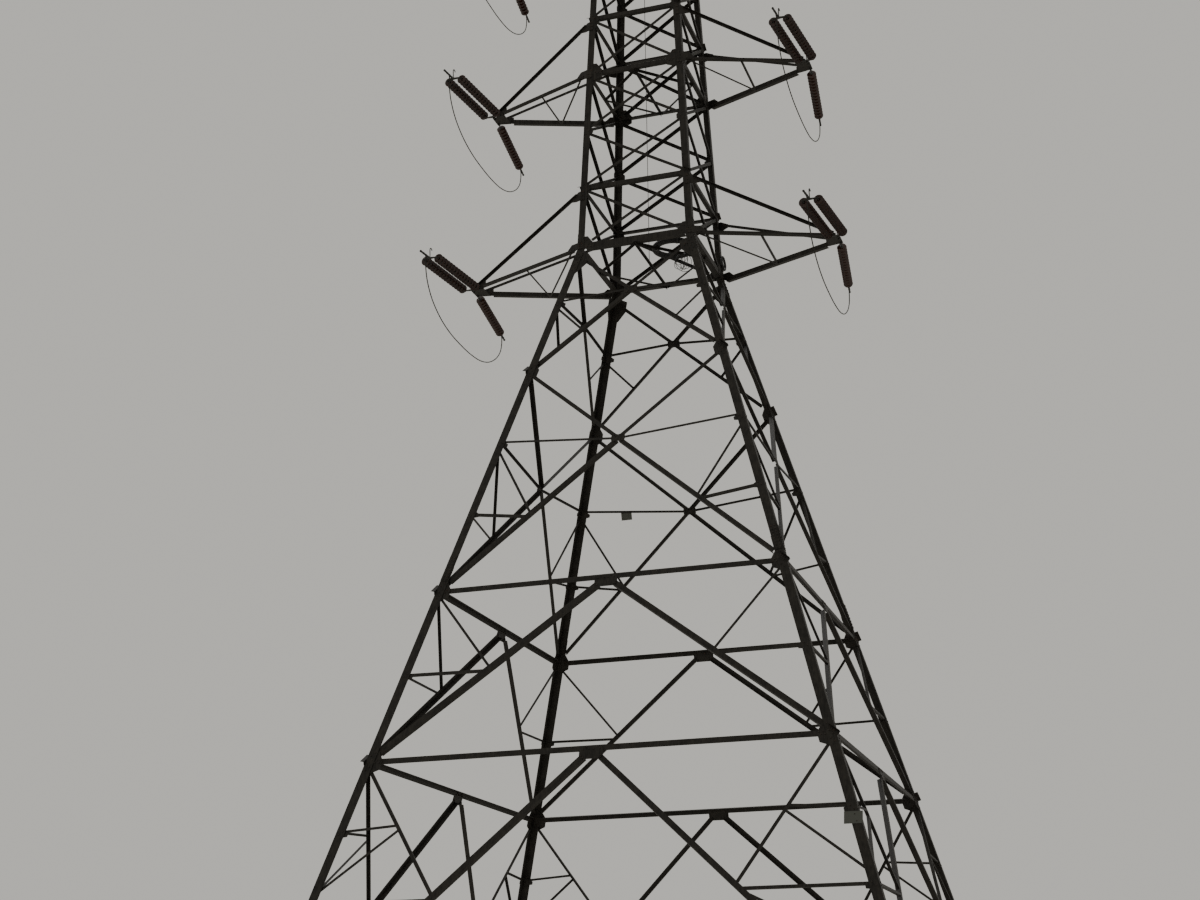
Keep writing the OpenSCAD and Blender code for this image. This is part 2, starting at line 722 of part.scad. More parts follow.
// Footings: a squat block with sloping sides under each leg
module footings()
    color(concrete) for (sx = [-1, 1]) for (sy = [-1, 1])
        translate([sx * (low_half(footing_h) - 80), sy * (low_half(footing_h) - 80), 0])
            intersection() {
                footing_slice();
                rotate([0, 0, 90]) footing_slice();
            }

module footing_slice()
    rotate([90, 0, 0]) linear_extrude(footing_base, center = true)
        polygon([[-footing_base / 2, 0], [footing_base / 2, 0], [footing_top / 2, footing_h],
            [-footing_top / 2, footing_h]]);

// Plate that hangs from a secondary bar of the far side
sign_x = 1640;
sign_drop = 280;
sign_t = 3;

module number_plate()
    color(signs) low_face(2) translate([sign_x, low_s(cross_tie_z[1] - sign_drop), -low_lay])
        cube([sign_w, sign_h, sign_t]);

// Spare cable coiled on the plan bracing of the waist
coil_place = [780, -640];

module cable_coil()
    color(cable) translate([coil_place[0], coil_place[1], plan_z(0) + seat + coil_thick / 2])
        rotate_extrude($fn = 48) translate([coil_d / 2, 0]) circle(d = coil_thick, $fn = 24);

// Thin cable that comes down inside the body, from the peak to the plan bracing of the waist
lead_d = 16;

module down_lead()
    color(cable) translate([-tie_w / 2 - lead_d / 2 - seat, -120, plan_z(0) - tie_w])
        cylinder(d = lead_d, h = peak_z - peak_cap_t - seat - plan_z(0) + tie_w, $fn = 16);

leg(0);  // leg_near_left
leg(1);  // leg_near_right
leg(2);  // leg_far_right
leg(3);  // leg_far_left
base_bracing(0);  // base_bracing_front
base_bracing(1);  // base_bracing_right
base_bracing(2);  // base_bracing_back
base_bracing(3);  // base_bracing_left
body_bracing(0);  // body_bracing_front
body_bracing(1);  // body_bracing_right
body_bracing(2);  // body_bracing_back
body_bracing(3);  // body_bracing_left
cage_bracing(0);  // cage_bracing_front
cage_bracing(1);  // cage_bracing_right
cage_bracing(2);  // cage_bracing_back
cage_bracing(3);  // cage_bracing_left
ring(ring_low_z);  // ring_low
ring(ring_mid_z);  // ring_mid
plan_bracing();
earth_wire_peak();
arm(0, -1);  // arm_low_left
arm(0, 1);  // arm_low_right
arm(1, -1);  // arm_mid_left
arm(1, 1);  // arm_mid_right
arm(2, -1);  // arm_top_left
arm(2, 1);  // arm_top_right
strings(0, -1);  // strings_low_left
strings(0, 1);  // strings_low_right
strings(1, -1);  // strings_mid_left
strings(1, 1);  // strings_mid_right
strings(2, -1);  // strings_top_left
strings(2, 1);  // strings_top_right
fittings(0, -1);  // fittings_low_left
fittings(0, 1);  // fittings_low_right
fittings(1, -1);  // fittings_mid_left
fittings(1, 1);  // fittings_mid_right
fittings(2, -1);  // fittings_top_left
fittings(2, 1);  // fittings_top_right
jumper(0, -1);  // jumper_low_left
jumper(0, 1);  // jumper_low_right
jumper(1, -1);  // jumper_mid_left
jumper(1, 1);  // jumper_mid_right
jumper(2, -1);  // jumper_top_left
jumper(2, 1);  // jumper_top_right
footings();
number_plate();
cable_coil();
down_lead();
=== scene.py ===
# %% [markdown]
# # A lattice transmission pylon
# The tower is a bolted frame of steel angles. Its legs, bracing, arms and plates come ready
# from the CAD model. This notebook adds what the CAD leaves out: the glazed discs, the
# stranded jumpers, bolts, horns and spare cable, and a finish for every surface.

# %% Load the CAD model as a fixed frame
import json
import math
import random

import bpy
import numpy as np
from mathutils import Matrix, Vector


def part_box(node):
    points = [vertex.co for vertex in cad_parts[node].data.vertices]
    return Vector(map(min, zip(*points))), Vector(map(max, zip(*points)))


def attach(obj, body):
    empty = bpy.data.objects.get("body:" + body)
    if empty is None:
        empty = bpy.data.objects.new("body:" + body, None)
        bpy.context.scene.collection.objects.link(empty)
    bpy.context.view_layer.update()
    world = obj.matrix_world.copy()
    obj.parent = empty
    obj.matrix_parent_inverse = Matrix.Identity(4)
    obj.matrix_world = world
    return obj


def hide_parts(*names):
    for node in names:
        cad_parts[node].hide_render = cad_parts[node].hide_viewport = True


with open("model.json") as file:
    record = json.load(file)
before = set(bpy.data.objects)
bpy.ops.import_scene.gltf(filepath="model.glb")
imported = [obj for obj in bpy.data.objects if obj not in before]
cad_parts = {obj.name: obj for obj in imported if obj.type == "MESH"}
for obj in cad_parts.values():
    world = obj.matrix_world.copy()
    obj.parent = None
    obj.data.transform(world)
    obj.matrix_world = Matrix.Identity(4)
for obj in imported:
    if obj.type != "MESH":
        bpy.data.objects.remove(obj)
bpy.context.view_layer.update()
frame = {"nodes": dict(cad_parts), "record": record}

# %% [markdown]
# ## Camera
# The photograph was taken from low down with a long lens, looking up from the near right.
# The place and the three angles come from matching the legs, rings and arms of the model to
# the photograph, so the same lens gives the same outline.

# %% Camera
camera_data = bpy.data.cameras.new("camera")
camera_data.sensor_width = 36
camera_data.lens = 53.28
camera_data.clip_end = 2000
camera = bpy.data.objects.new("camera", camera_data)
camera.location = (12.166, -41.280, 0.510)
camera.rotation_euler = [math.radians(a) for a in (109.2029, 0.4402, 18.4723)]
bpy.context.scene.collection.objects.link(camera)
bpy.context.scene.camera = camera
print("lens:", round(camera_data.lens, 2), "mm")

# %% [markdown]
# ## Sizes that the added pieces share with the CAD model
# Everything below is in metres, while the CAD source is in millimetres.

# %% Shared sizes
waist_z = 20.68
waist_half = 1.56
low_slope = 0.274
up_slope = 0.04
arm_step = 5.25
arm_reach = {"low": 5.05, "mid": 4.5, "top": 4.35}
levels = ["low", "mid", "top"]
sides = {"left": -1, "right": 1}
arms = [(level, side) for level in levels for side in sides]


def arm_z(level):
    return waist_z + levels.index(level) * arm_step


def unit(v):
    return v / np.linalg.norm(v)


print("arm heights:", [round(arm_z(level), 2) for level in levels])

# %% Mesh helper
def new_piece(name, points, faces, smooth=True):
    """A mesh object in the tower's frame that rides on the tower."""
    mesh = bpy.data.meshes.new(name)
    mesh.from_pydata([tuple(p) for p in points], [], [tuple(f) for f in faces])
    mesh.polygons.foreach_set("use_smooth", [smooth] * len(mesh.polygons))
    mesh.update()
    piece = bpy.data.objects.new(name, mesh)
    bpy.context.scene.collection.objects.link(piece)
    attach(piece, "root")
    return piece


# %% [markdown]
# ## Jumpers
# A jumper carries the current past the tower, from the clamp of the near set to that of the
# far set. It is a stranded aluminium cable, 28 mm across, stiff enough to hang in one wide
# loop. The strands show as small ridges that wind round the cable. Twelve separate strands
# would need many more faces, so the section is a ring of lobes that turns as it runs.

# %% Jumper route, the same points as in the CAD model
jumper_route = [
    (-0.260, -2.790, -0.170), (-0.262, -2.780, -0.465), (-0.270, -2.620, -0.825),
    (-0.280, -2.260, -1.175), (-0.285, -1.700, -1.455), (-0.290, -1.040, -1.610),
    (-0.290, -0.320, -1.670), (-0.290, 0.400, -1.670), (-0.290, 1.100, -1.590),
    (-0.290, 1.720, -1.395), (-0.290, 2.240, -1.090), (-0.290, 2.560, -0.770),
    (-0.290, 2.670, -0.495), (-0.290, 2.680, -0.270),
]
jumper_d = 0.028
strands = 12
ridge, groove = 1.04, 0.92  # shares of the cable's radius
lay_length = 0.30  # one turn of a strand round the cable
route_step = 0.025
print("route points:", len(jumper_route))


# %% Smooth curves through points
def smooth_line(points, steps):
    """Points along a smooth curve through the given ones."""
    line = []
    for i in range(len(points) - 1):
        a, b = Vector(points[max(i - 1, 0)]), Vector(points[i])
        c, d = Vector(points[i + 1]), Vector(points[min(i + 2, len(points) - 1)])
        for k in range(steps):
            t = k / steps
            line.append(0.5 * (2 * b + (c - a) * t + (2 * a - 5 * b + 4 * c - d) * t ** 2
                               + (3 * b - a - 3 * c + d) * t ** 3))
    return line + [Vector(points[-1])]


def even_line(points, step):
    """The same curve with points an even step apart."""
    fine = np.array(smooth_line(points, 40), float)
    run = np.concatenate([[0], np.cumsum(np.linalg.norm(np.diff(fine, axis=0), axis=1))])
    places = np.linspace(0, run[-1], max(2, round(run[-1] / step) + 1))
    return np.stack([np.interp(places, run, fine[:, k]) for k in range(3)], 1)


def line_length(line):
    return float(np.linalg.norm(np.diff(np.array(line, float), axis=0), axis=1).sum())


# %% Tubes along a curve
def swept(line, ring):
    """Points and faces of a tube along the line. ring(i) gives the offsets (u, v) of ring i."""
    line = np.array(line, float)
    tangent = np.gradient(line, axis=0)
    tangent /= np.linalg.norm(tangent, axis=1)[:, None]
    u = np.cross(tangent[0], (0.3, 0.5, 0.8))
    points, faces = [], []
    for i, (place, t) in enumerate(zip(line, tangent)):
        u = u - (u @ t) * t
        u /= np.linalg.norm(u)
        v = np.cross(t, u)
        section = ring(i)
        n = len(section)
        points += [place + a * u + b * v for a, b in section]
        if i:
            lo, hi = (i - 1) * n, i * n
            faces += [(lo + k, lo + (k + 1) % n, hi + (k + 1) % n, hi + k) for k in range(n)]
    faces.append(tuple(range(n - 1, -1, -1)))
    faces.append(tuple(range(len(points) - n, len(points))))
    return points, faces


def strand_ring(i):
    turn = math.tau * i * route_step / lay_length
    ring = []
    for k in range(2 * strands):
        angle = turn + math.pi * k / strands
        radius = jumper_d / 2 * (ridge if k % 2 else groove)
        ring.append((radius * math.cos(angle), radius * math.sin(angle)))
    return ring


jumper_pieces = []
for level, side in arms:
    start = Vector((sides[side] * arm_reach[level], 0, arm_z(level)))
    line = even_line([Vector(p) + start for p in jumper_route], route_step)
    piece = new_piece(f"jumper_cable_{level}_{side}", *swept(line, strand_ring))
    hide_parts(f"jumper_{level}_{side}")
    jumper_pieces.append(piece)
print("jumper length:", round(line_length(line), 3), "m")

# %% [markdown]
# ## Insulator discs
# Each string is fifteen cap-and-pin discs. A disc is a glazed porcelain shell with ribs on
# its underside, which keep a dry path in rain, and an iron cap and pin cemented into it. The
# CAD model has one plain turned solid a string. Here each disc is turned from its own
# profile, because a disc is a thing of rotation, and then repeated along the string.

# %% Directions of the insulator sets
hang_y = 0.14
tip_drop = 0.0665
near_turn, near_fall = math.radians(5.6), math.radians(1)
far_turn, far_fall = math.radians(6.5), math.radians(3.2)
disc_pitch, disc_count = 0.146, 15
string_start = 0.200
string_gap = 0.380
string_len = disc_pitch * disc_count
print("string length:", round(string_len, 2), "m")


def set_frame(level, side, near):
    """Frame of a set: +X runs out along it from its pin hole in the tip plate."""
    place = (sides[side] * arm_reach[level], -hang_y if near else hang_y, arm_z(level) - tip_drop)
    turn = -math.pi / 2 - near_turn if near else math.pi / 2 + far_turn
    return (Matrix.Translation(place) @ Matrix.Rotation(turn, 4, "Z")
            @ Matrix.Rotation(near_fall if near else far_fall, 4, "Y"))


def string_frames(level, side):
    """Frames of the two near strings and the far one, at their first discs."""
    near, far = set_frame(level, side, True), set_frame(level, side, False)
    return ([near @ Matrix.Translation((string_start, y * string_gap / 2, 0)) for y in (-1, 1)]
            + [far @ Matrix.Translation((string_start, 0, 0))])


# %% Turning, repeating and joining
def turned(profile, sides_round):
    """Points and faces of a closed ring turned about +X from (radius, place) pairs."""
    n = len(profile)
    angles = [math.tau * k / sides_round for k in range(sides_round)]
    points = [(x, r * math.cos(a), r * math.sin(a)) for a in angles for r, x in profile]
    faces = [(k * n + i, k * n + (i + 1) % n, (k + 1) % sides_round * n + (i + 1) % n,
              (k + 1) % sides_round * n + i) for k in range(sides_round) for i in range(n)]
    return points, faces


def repeated(points, faces, frames):
    """The same points and faces at each frame."""
    base = np.array([tuple(p) + (1,) for p in points], float)
    all_points = np.concatenate([(base @ np.array(m, float).T)[:, :3] for m in frames])
    all_faces = [tuple(v + k * len(points) for v in f) for k in range(len(frames)) for f in faces]
    return all_points, all_faces


def joined(parts):
    """Several pairs of points and faces as one."""
    points, faces = [], []
    for more_points, more_faces in parts:
        shift = len(points)
        points += [tuple(p) for p in more_points]
        faces += [tuple(v + shift for v in f) for f in more_faces]
    return points, faces


# %% Discs, caps and pins of all strings
shell_profile = [(r / 1000, x / 1000) for r, x in (
    (30, 48), (47, 50), (62, 54), (86, 62), (108, 73), (122, 84), (127.5, 93), (126, 98),
    (120, 96), (113, 89), (109, 99), (102, 99), (98, 86), (91, 86), (87, 102), (80, 102),
    (76, 84), (66, 83), (62, 98), (54, 98), (50, 82), (30, 80))]
cap_profile = [(r / 1000, x / 1000) for r, x in (
    (1, 0), (19, 0), (24, 5), (26, 16), (38, 24), (45, 36), (46, 50), (42, 52), (1, 52))]
pin_profile = [(r / 1000, x / 1000) for r, x in (
    (1, 78), (26, 78), (24, 88), (9, 92), (9, 136), (15, 140), (16, 146), (1, 148))]
shell, cap, pin = turned(shell_profile, 28), turned(cap_profile, 12), turned(pin_profile, 8)
disc_places = [Matrix.Translation((i * disc_pitch, 0, 0)) for i in range(disc_count)]
disc_pieces, cap_pieces = [], []
for level, side in arms:
    frames = [m @ place for m in string_frames(level, side) for place in disc_places]
    discs = new_piece(f"discs_{level}_{side}", *repeated(*shell, frames))
    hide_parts(f"strings_{level}_{side}")
    metal = joined([repeated(*part, frames) for part in (cap, pin)])
    caps = new_piece(f"disc_caps_{level}_{side}", *metal)
    disc_pieces.append(discs)
    cap_pieces.append(caps)
print("discs:", len(arms) * 3 * disc_count)

# %% [markdown]
# ## One bolt
# Nothing on such a tower is welded. Each bar is bolted to a gusset plate or to a leg, with
# its head outside and its nut inside. One bolt is a hexagon head with a bevelled top, a
# washer, a nut and the thread's end. It could be a cylinder, but the flats catch the light.
# Its copies are placed by matrices and joined, so that they stay a few objects. Instances
# would be lighter still, but the exported model needs real meshes.

# %% Prisms
def prism(sides_round, radius, bottom, top, bevel=0.0):
    """Points and faces of a closed upright prism, its top edge cut back by the bevel."""
    rings = [(radius, bottom), (radius, top - bevel)] + [(radius - bevel, top)] * (bevel > 0)
    n, last = sides_round, len(rings) - 1
    points = [(r * math.cos(math.tau * k / n), r * math.sin(math.tau * k / n), z)
              for r, z in rings for k in range(n)]
    faces = [(i * n + k, i * n + (k + 1) % n, (i + 1) * n + (k + 1) % n, (i + 1) * n + k)
             for i in range(last) for k in range(n)]
    return points, faces + [tuple(range(n - 1, -1, -1)), tuple(range(last * n, last * n + n))]


# %% Head, washer, nut and thread
bolt_d = 0.020


def bolt(d, grip):
    """Bolt along Z, through a thickness of grip below 0. Its sizes are shares of d."""
    corner = 0.87 * d  # from the middle of the head to a corner
    return joined([prism(6, corner, 0, 0.63 * d, 0.12 * d),
                   prism(8, 1.0 * d, -grip - 0.15 * d, -grip),
                   prism(6, corner, -grip - 0.95 * d, -grip - 0.15 * d),
                   prism(6, 0.45 * d, -grip - 1.35 * d, -grip - 0.95 * d)])


print("faces of one bolt:", len(bolt(bolt_d, 0.03)[1]))

# %% [markdown]
# ## The leaning sides
# Each side of the body leans inwards, steeply below the waist and hardly above it. Places on
# it are simplest in a frame of the side's own: X across, Y up the slope and Z outwards. Only
# half a side is worked out. The other half mirrors it and the other sides are turned copies,
# as on the real tower, where one set of drawings serves all four.

# %% Frames of the sides, as in the CAD model
lean = {"low": math.atan(low_slope), "up": math.atan(up_slope)}
leg_lean = {part: math.atan(math.sin(angle)) for part, angle in lean.items()}
leg_t = {"low": 0.018, "up": 0.014}
leg_w = {"low": 0.195, "up": 0.180}
plate_t = {"low": 0.012, "up": 0.010}
lay = {part: leg_t[part] + plate_t[part] for part in leg_t}  # depth of the bars' faces
side_names = ["front", "right", "back", "left"]


print("lean of the sides:", {part: round(math.degrees(a), 2) for part, a in lean.items()})


def half_width(z):
    return waist_half + (low_slope if z < waist_z else up_slope) * (waist_z - z)


# %% Places on a side
def side_frame(turn, part):
    """Frame of one side, from the middle of the waist's edge."""
    return (Matrix.Rotation(turn * math.pi / 2, 4, "Z") @ Matrix.Translation((0, -waist_half, waist_z))
            @ Matrix.Rotation(math.pi / 2 - lean[part], 4, "X"))


def side_point(part, share, z):
    """Place in a side's frame, from the share of the half width to the left and the height."""
    return np.array((-share * half_width(z), (z - waist_z) / math.cos(lean[part])))


def low(share, z):
    return side_point("low", share, z)


def up(share, z):
    return side_point("up", share, z)


def leg_place(part, z, out, along):
    """Point at a distance from the left corner line, and along it from the height z."""
    turn = leg_lean[part]
    return side_point(part, 1, z) + (out * math.cos(turn) + along * math.sin(turn),
                                     -out * math.sin(turn) + along * math.cos(turn))


# %% Heights of the nodes
foot_z, ring_low_z, ring_mid_z, joint_z = 0.42, 7.00, 11.08, 17.02
neck_z = waist_z - 0.14
leg_splice_z = ring_mid_z + 0.6
foot_tie_z = (5.43, 3.88, 2.15)
ring_tie_z = (ring_low_z + ring_mid_z) / 2
extra_tie_z, cross_tie_z = 13.10, (14.98, 19.03)
cage_rise = 1.82
cage_z = [waist_z + arm * arm_step + rise for arm in (0, 1)
          for rise in (0, cage_rise, (cage_rise + arm_step) / 2)]
cage_z += [waist_z + 2 * arm_step, waist_z + 2 * arm_step + cage_rise]
print("nodes above the waist:", [round(z, 2) for z in cage_z])

# %% [markdown]
# ## Gusset plates
# A gusset is the flat plate that lies inside a leg's flange where bars meet. The CAD model
# holds the plates. The bolts need their outlines once more, because a bolt belongs only
# where a plate lies under it, with some metal left round its hole.

# %% Gusset plates: height, reach, and extent down and up the leg
gussets = {
    "low": [(foot_z, 0.340, 0.100, 0.280)]
           + [(z, 0.285, 0.090, 0.090) for z in (*foot_tie_z, ring_tie_z, extra_tie_z, *cross_tie_z)]
           + [(ring_low_z, 0.390, 0.230, 0.300), (ring_mid_z, 0.350, 0.200, 0.290),
              (joint_z, 0.300, 0.250, 0.250), (neck_z, 0.400, 0.560, 0.060)],
    "up": [(z, 0.440, 0.010 if i == 0 else 0.150, 0.370) if i % 3 == 0
           else (z, 0.260, 0.140, 0.090 if z == cage_z[-1] else 0.140)
           for i, z in enumerate(cage_z)],
}


def on_gusset(part, place, margin):
    """Distance of a place from the corner line, if a gusset lies under it, else None."""
    turn = leg_lean[part]
    edge = lay[part] + 0.010
    for z, reach, down, rise in gussets[part]:
        x, y = place - side_point(part, 1, z)
        out = x * math.cos(turn) - y * math.sin(turn)
        along = x * math.sin(turn) + y * math.cos(turn)
        outline = [(edge, -down), (reach * 0.55, -down), (reach, -down * 0.45),
                   (reach, rise * 0.4), (reach * 0.6, rise), (edge, rise)]
        if all((bx - ax) * (along - ay) - (by - ay) * (out - ax) > margin * math.hypot(bx - ax, by - ay)
               for (ax, ay), (bx, by) in zip(outline, outline[1:] + outline[:1])):
            return out
    return None


print("gussets on a leg's flange:", {part: len(rows) for part, rows in gussets.items()})

# %% Bolts through the legs and their gussets, in two staggered rows
half_bolts = {"low": [], "up": []}  # (x, y, height of the head's seat, grip)
bolt_room = 0.038  # least distance between two bolts
leg_rows, row_pitch = (0.078, 0.140), 0.085


def put(part, place, seat, grip):
    """Keep a bolt, unless another one sits too close to it."""
    if all(math.hypot(place[0] - x, place[1] - y) > bolt_room for x, y, *_ in half_bolts[part]):
        half_bolts[part].append((place[0], place[1], seat, grip))


for part in gussets:
    for z, reach, down, rise in gussets[part]:
        count = max(2, round((down + rise) / row_pitch))
        for i in range(count):
            along = -down + (i + 0.5) * (down + rise) / count
            put(part, leg_place(part, z, leg_rows[i % 2], along), 0.0, lay[part])
print("bolts through half a side's leg:", {part: len(places) for part, places in half_bolts.items()})

# %% [markdown]
# ## Bar ends
# A bar starts a little way from the corner, where its square end clears the leg. The first
# bolt follows from that cut, and the rest run along the bar while there is plate under them.
# Where the leg's flange covers the plate too, the bolt is longer and its head lies outside.
# The modelled plates are short. Most diagonals and ties reach theirs only with a corner, and
# some stop past it, so a bolt there would have no metal round its hole. Those ends have no
# bolts here, although on a real tower the plates reach further and every end is bolted.

# %% Bolts of a bar's end
bar_t, bar_gap = 0.008, 0.002
first_bolt, bar_pitch = 0.032, 0.045
plate_margin, flange_margin = 0.014, 0.019
wide_bar = 0.085  # a wider bar has its bolts in two rows


def across(along):
    return np.array((-along[1], along[0]))


def bar_end(part, start, towards, width, inset, count):
    """Bolts through a gusset and the end of the bar that starts at a corner node."""
    along = unit(np.array(towards) - np.array(start))
    turn = abs(math.pi / 2 - leg_lean[part] - math.atan2(along[1], abs(along[0])))
    cut = (inset + width / 2 * abs(math.cos(turn))) / math.sin(turn)
    for i in range(count):
        shift = (i % 2 - 0.5) * (0.45 * width if width > wide_bar else 0)
        place = start + along * (cut + first_bolt + bar_pitch * i) + across(along) * shift
        out = on_gusset(part, place, plate_margin)
        if out is None or abs(out - leg_w[part]) < flange_margin:
            continue
        if out < leg_w[part]:
            put(part, place, 0.0, lay[part] + bar_t)
        else:
            put(part, place, bar_gap - leg_t[part], plate_t[part] + bar_t + bar_gap)


# %% Ends of the two rings
ring_w, ring_bolts, main_clear = 0.135, 6, 0.010
main_inset = lay["low"] + ring_w + main_clear
foot, low_node = low(1, foot_z), low(1, ring_low_z)
low_top, mid_top = low(0, ring_low_z), low(0, ring_mid_z)
for z in (ring_low_z, ring_mid_z):
    bar_end("low", low(1, z), low(-1, z), ring_w, main_inset, ring_bolts)
print("bolts so far:", len(half_bolts["low"]))

# %% Upper ends of the crossed panels up to the waist
cross_w, cross_bolts = 0.090, 6
crossings = []  # (crossing, lower corner, upper corner)
for z0, z1 in ((ring_mid_z, joint_z), (joint_z, neck_z)):
    below, above = low(1, z0), low(1, z1)
    share = half_width(z0) / (half_width(z0) + half_width(z1))
    centre = np.array((0, below[1] * (1 - share) + above[1] * share))
    crossings.append((centre, below, above))
    bar_end("low", above, centre, cross_w, main_inset, cross_bolts)
crossing_z = [waist_z + centre[1] * math.cos(lean["low"]) for centre, *_ in crossings]
print("heights of the crossings:", [round(z, 2) for z in crossing_z])

# %% Plates where bars cross, and under the middle of a ring
plate_face = plate_t["low"] - lay["low"]
cross_runs, cross_grip = (0.075, 0.135), 0.020
ring_spots, ring_grip = ((-0.05, -0.022), (-0.12, 0.022), (-0.19, -0.022)), 0.022
main_run, main_gauge = 0.282, 0.030
for centre, *corners in crossings:
    for corner in corners:
        for run in cross_runs:
            put("low", centre + unit(corner - centre) * run, plate_face, cross_grip)
for top, corner in ((low_top, foot), (mid_top, low_node)):
    for x, y in ring_spots:
        put("low", top + (x, y), plate_face, ring_grip)
    along = unit(corner - top)
    for shift in (-main_gauge, main_gauge):
        put("low", top + along * main_run + across(along) * shift, plate_face, ring_grip)
print("bolts on half a side below the waist:", len(half_bolts["low"]))

# %% Bars above the waist
cage_w, beam_w, waist_beam_w, beam_clear = 0.080, 0.110, 0.170, 0.008
cage_bolts, beam_bolts = 5, 6
beam_room = 0.12  # how far a diagonal starts above an arm's beam
beam_cut = 0.028
cage_inset = lay["up"] + beam_w + beam_clear
for i in range(0, len(cage_z), 3):  # the arm levels, which have the long plates
    corner = up(1, cage_z[i])
    bar_end("up", corner + (0, beam_room), up(-1, cage_z[i + 1]), cage_w, cage_inset, cage_bolts)
    if i:
        bar_end("up", corner, up(-1, cage_z[i - 1]), cage_w, cage_inset, cage_bolts)
for arm in range(3):
    floor_w = beam_w if arm else waist_beam_w
    for rise, width in ((beam_clear + floor_w / 2, floor_w), (cage_rise, beam_w)):
        node = up(1, waist_z + arm * arm_step + rise)
        bar_end("up", node, node * (-1, 1), width, lay["up"] + width + beam_cut, beam_bolts)
print("bolts on half a side above the waist:", len(half_bolts["up"]))

# %% [markdown]
# ## End cleats
# One of the two diagonals that cross at a node is bolted on from outside. Its end runs a
# hand's breadth past the corner, with its second flange outwards, and shows in the outline
# as a beak at the leg's edge. A short cleat of angle is modelled there, cut from two flat
# outlines. The whole outer diagonal stays in the CAD model's plane.

# %% Flat plates and bars from outlines
def plate(outline, low_face, high_face):
    """Points and faces of a flat plate between two heights, its outline anticlockwise."""
    n = len(outline)
    points = [(x, y, z) for z in (low_face, high_face) for x, y in outline]
    faces = [(k, (k + 1) % n, n + (k + 1) % n, n + k) for k in range(n)]
    return points, faces + [tuple(range(n - 1, -1, -1)), tuple(range(n, 2 * n))]


def bar_outline(start, along, run_low, run_high, side_low, side_high):
    return [start + along * r + across(along) * w for r, w in
            ((run_low, side_low), (run_high, side_low), (run_high, side_high), (run_low, side_high))]


def mirrored_outline(outline):
    return [(-x, y) for x, y in reversed(outline)]


# %% Cleats at the right-hand corners of each side
cleat_t = 0.008
cleat_bolts = (0.055, 0.110, 0.165)
cleat_size = {"low": (0.090, 0.075, 0.225), "up": (0.070, 0.045, 0.180)}  # width, past, run
cleats = [("low", low_node, unit(mid_top - low_node))]  # (part, corner, direction), mirrored later
cleats += [("low", corner, unit(centre - corner)) for centre, corner, _ in crossings]
cleats += [("up", up(1, cage_z[i]), unit(up(-1, cage_z[i + 1]) - up(1, cage_z[i]))) for i in (1, 4)]


def under_cleat(part, place):
    for cleat_part, corner, along in cleats:
        if cleat_part == part:
            w, past, run = cleat_size[part]
            x, y = place - corner
            reach, aside = x * along[0] + y * along[1], y * along[0] - x * along[1]
            if -past < reach < run and abs(aside) < w / 2:
                return True
    return False


cleat_parts = []
for turn in range(4):
    for part, corner, along in cleats:
        w, past, run = cleat_size[part]
        for side_low, top_z in ((-w / 2, cleat_t), (w / 2 - cleat_t, w)):
            outline = mirrored_outline(bar_outline(corner, along, -past, run, side_low, w / 2))
            cleat_parts.append(repeated(*plate(outline, 0, top_z), [side_frame(turn, part)]))
cleat_piece = new_piece("diagonal_cleats", *joined(cleat_parts), smooth=False)
print("cleats:", len(cleat_parts) // 2)

# %% [markdown]
# ## Splice covers
# The legs come in lengths that a lorry can carry. Flat covers are bolted over each splice,
# one on each flange. At the waist only the left and right sides have one. The leg bends
# there and the cover bends with it, so it is made of two plates that share the bend line.

# %% Splice covers of the legs
cover_t, cover_low, cover_high = 0.012, 0.014, 0.172
cover_rows = (0.055, 0.132)
splice_half, bend_half = 0.34, 0.46
cover_parts, cover_bolts = [], []


def cover(turn, part, z, down, rise, mirrored):
    corners = [leg_place(part, z, out, along) for out, along in
               ((cover_low, -down), (cover_high, -down), (cover_high, rise), (cover_low, rise))]
    if mirrored:
        corners = mirrored_outline(corners)
    cover_parts.append(repeated(*plate(corners, 0, cover_t), [side_frame(turn, part)]))
    count = round((down + rise) / row_pitch)
    for i in range(count):
        for out in cover_rows:
            x, y = leg_place(part, z, out, -down + (i + 0.5) * (down + rise) / count)
            cover_bolts.append((turn, part, -x if mirrored else x, y))


for turn in range(4):
    for mirrored in (False, True):
        cover(turn, "low", leg_splice_z, splice_half, splice_half, mirrored)
        if turn % 2:
            cover(turn, "low", waist_z, bend_half, 0.0, mirrored)
            cover(turn, "up", waist_z, 0.0, bend_half, mirrored)
cover_piece = new_piece("splice_covers", *joined(cover_parts), smooth=False)
print("covers:", len(cover_parts))

# %% [markdown]
# ## Bolts in their places
# Crews turn each head as it comes, so every bolt gets a small turn of its own, from a fixed
# seed. Bolts of the same diameter and grip share one mesh, and each group of them becomes
# one object.

# %% Bolts of the four sides
random.seed(7)
bolt_groups = {}  # name -> {(diameter, grip): [frames]}
cover_room = 0.05  # a bolt nearer than this to a cover's own bolt is left out


def add_bolt(group, frame_of_head, grip, d=bolt_d):
    turned_head = frame_of_head @ Matrix.Rotation(random.uniform(0, math.tau / 6), 4, "Z")
    key = (round(d, 4), round(grip, 4))
    bolt_groups.setdefault(group, {}).setdefault(key, []).append(turned_head)


def side_bolt(turn, part, x, y, seat, grip, d=bolt_d):
    spot = side_frame(turn, part) @ Matrix.Translation((x, y, seat))
    add_bolt(f"bolts_{part}_{side_names[turn]}", spot, grip, d)


def by_cover(turn, part, x, y):
    return any(t == turn and p == part and math.hypot(x - cx, y - cy) < cover_room
               for t, p, cx, cy in cover_bolts)


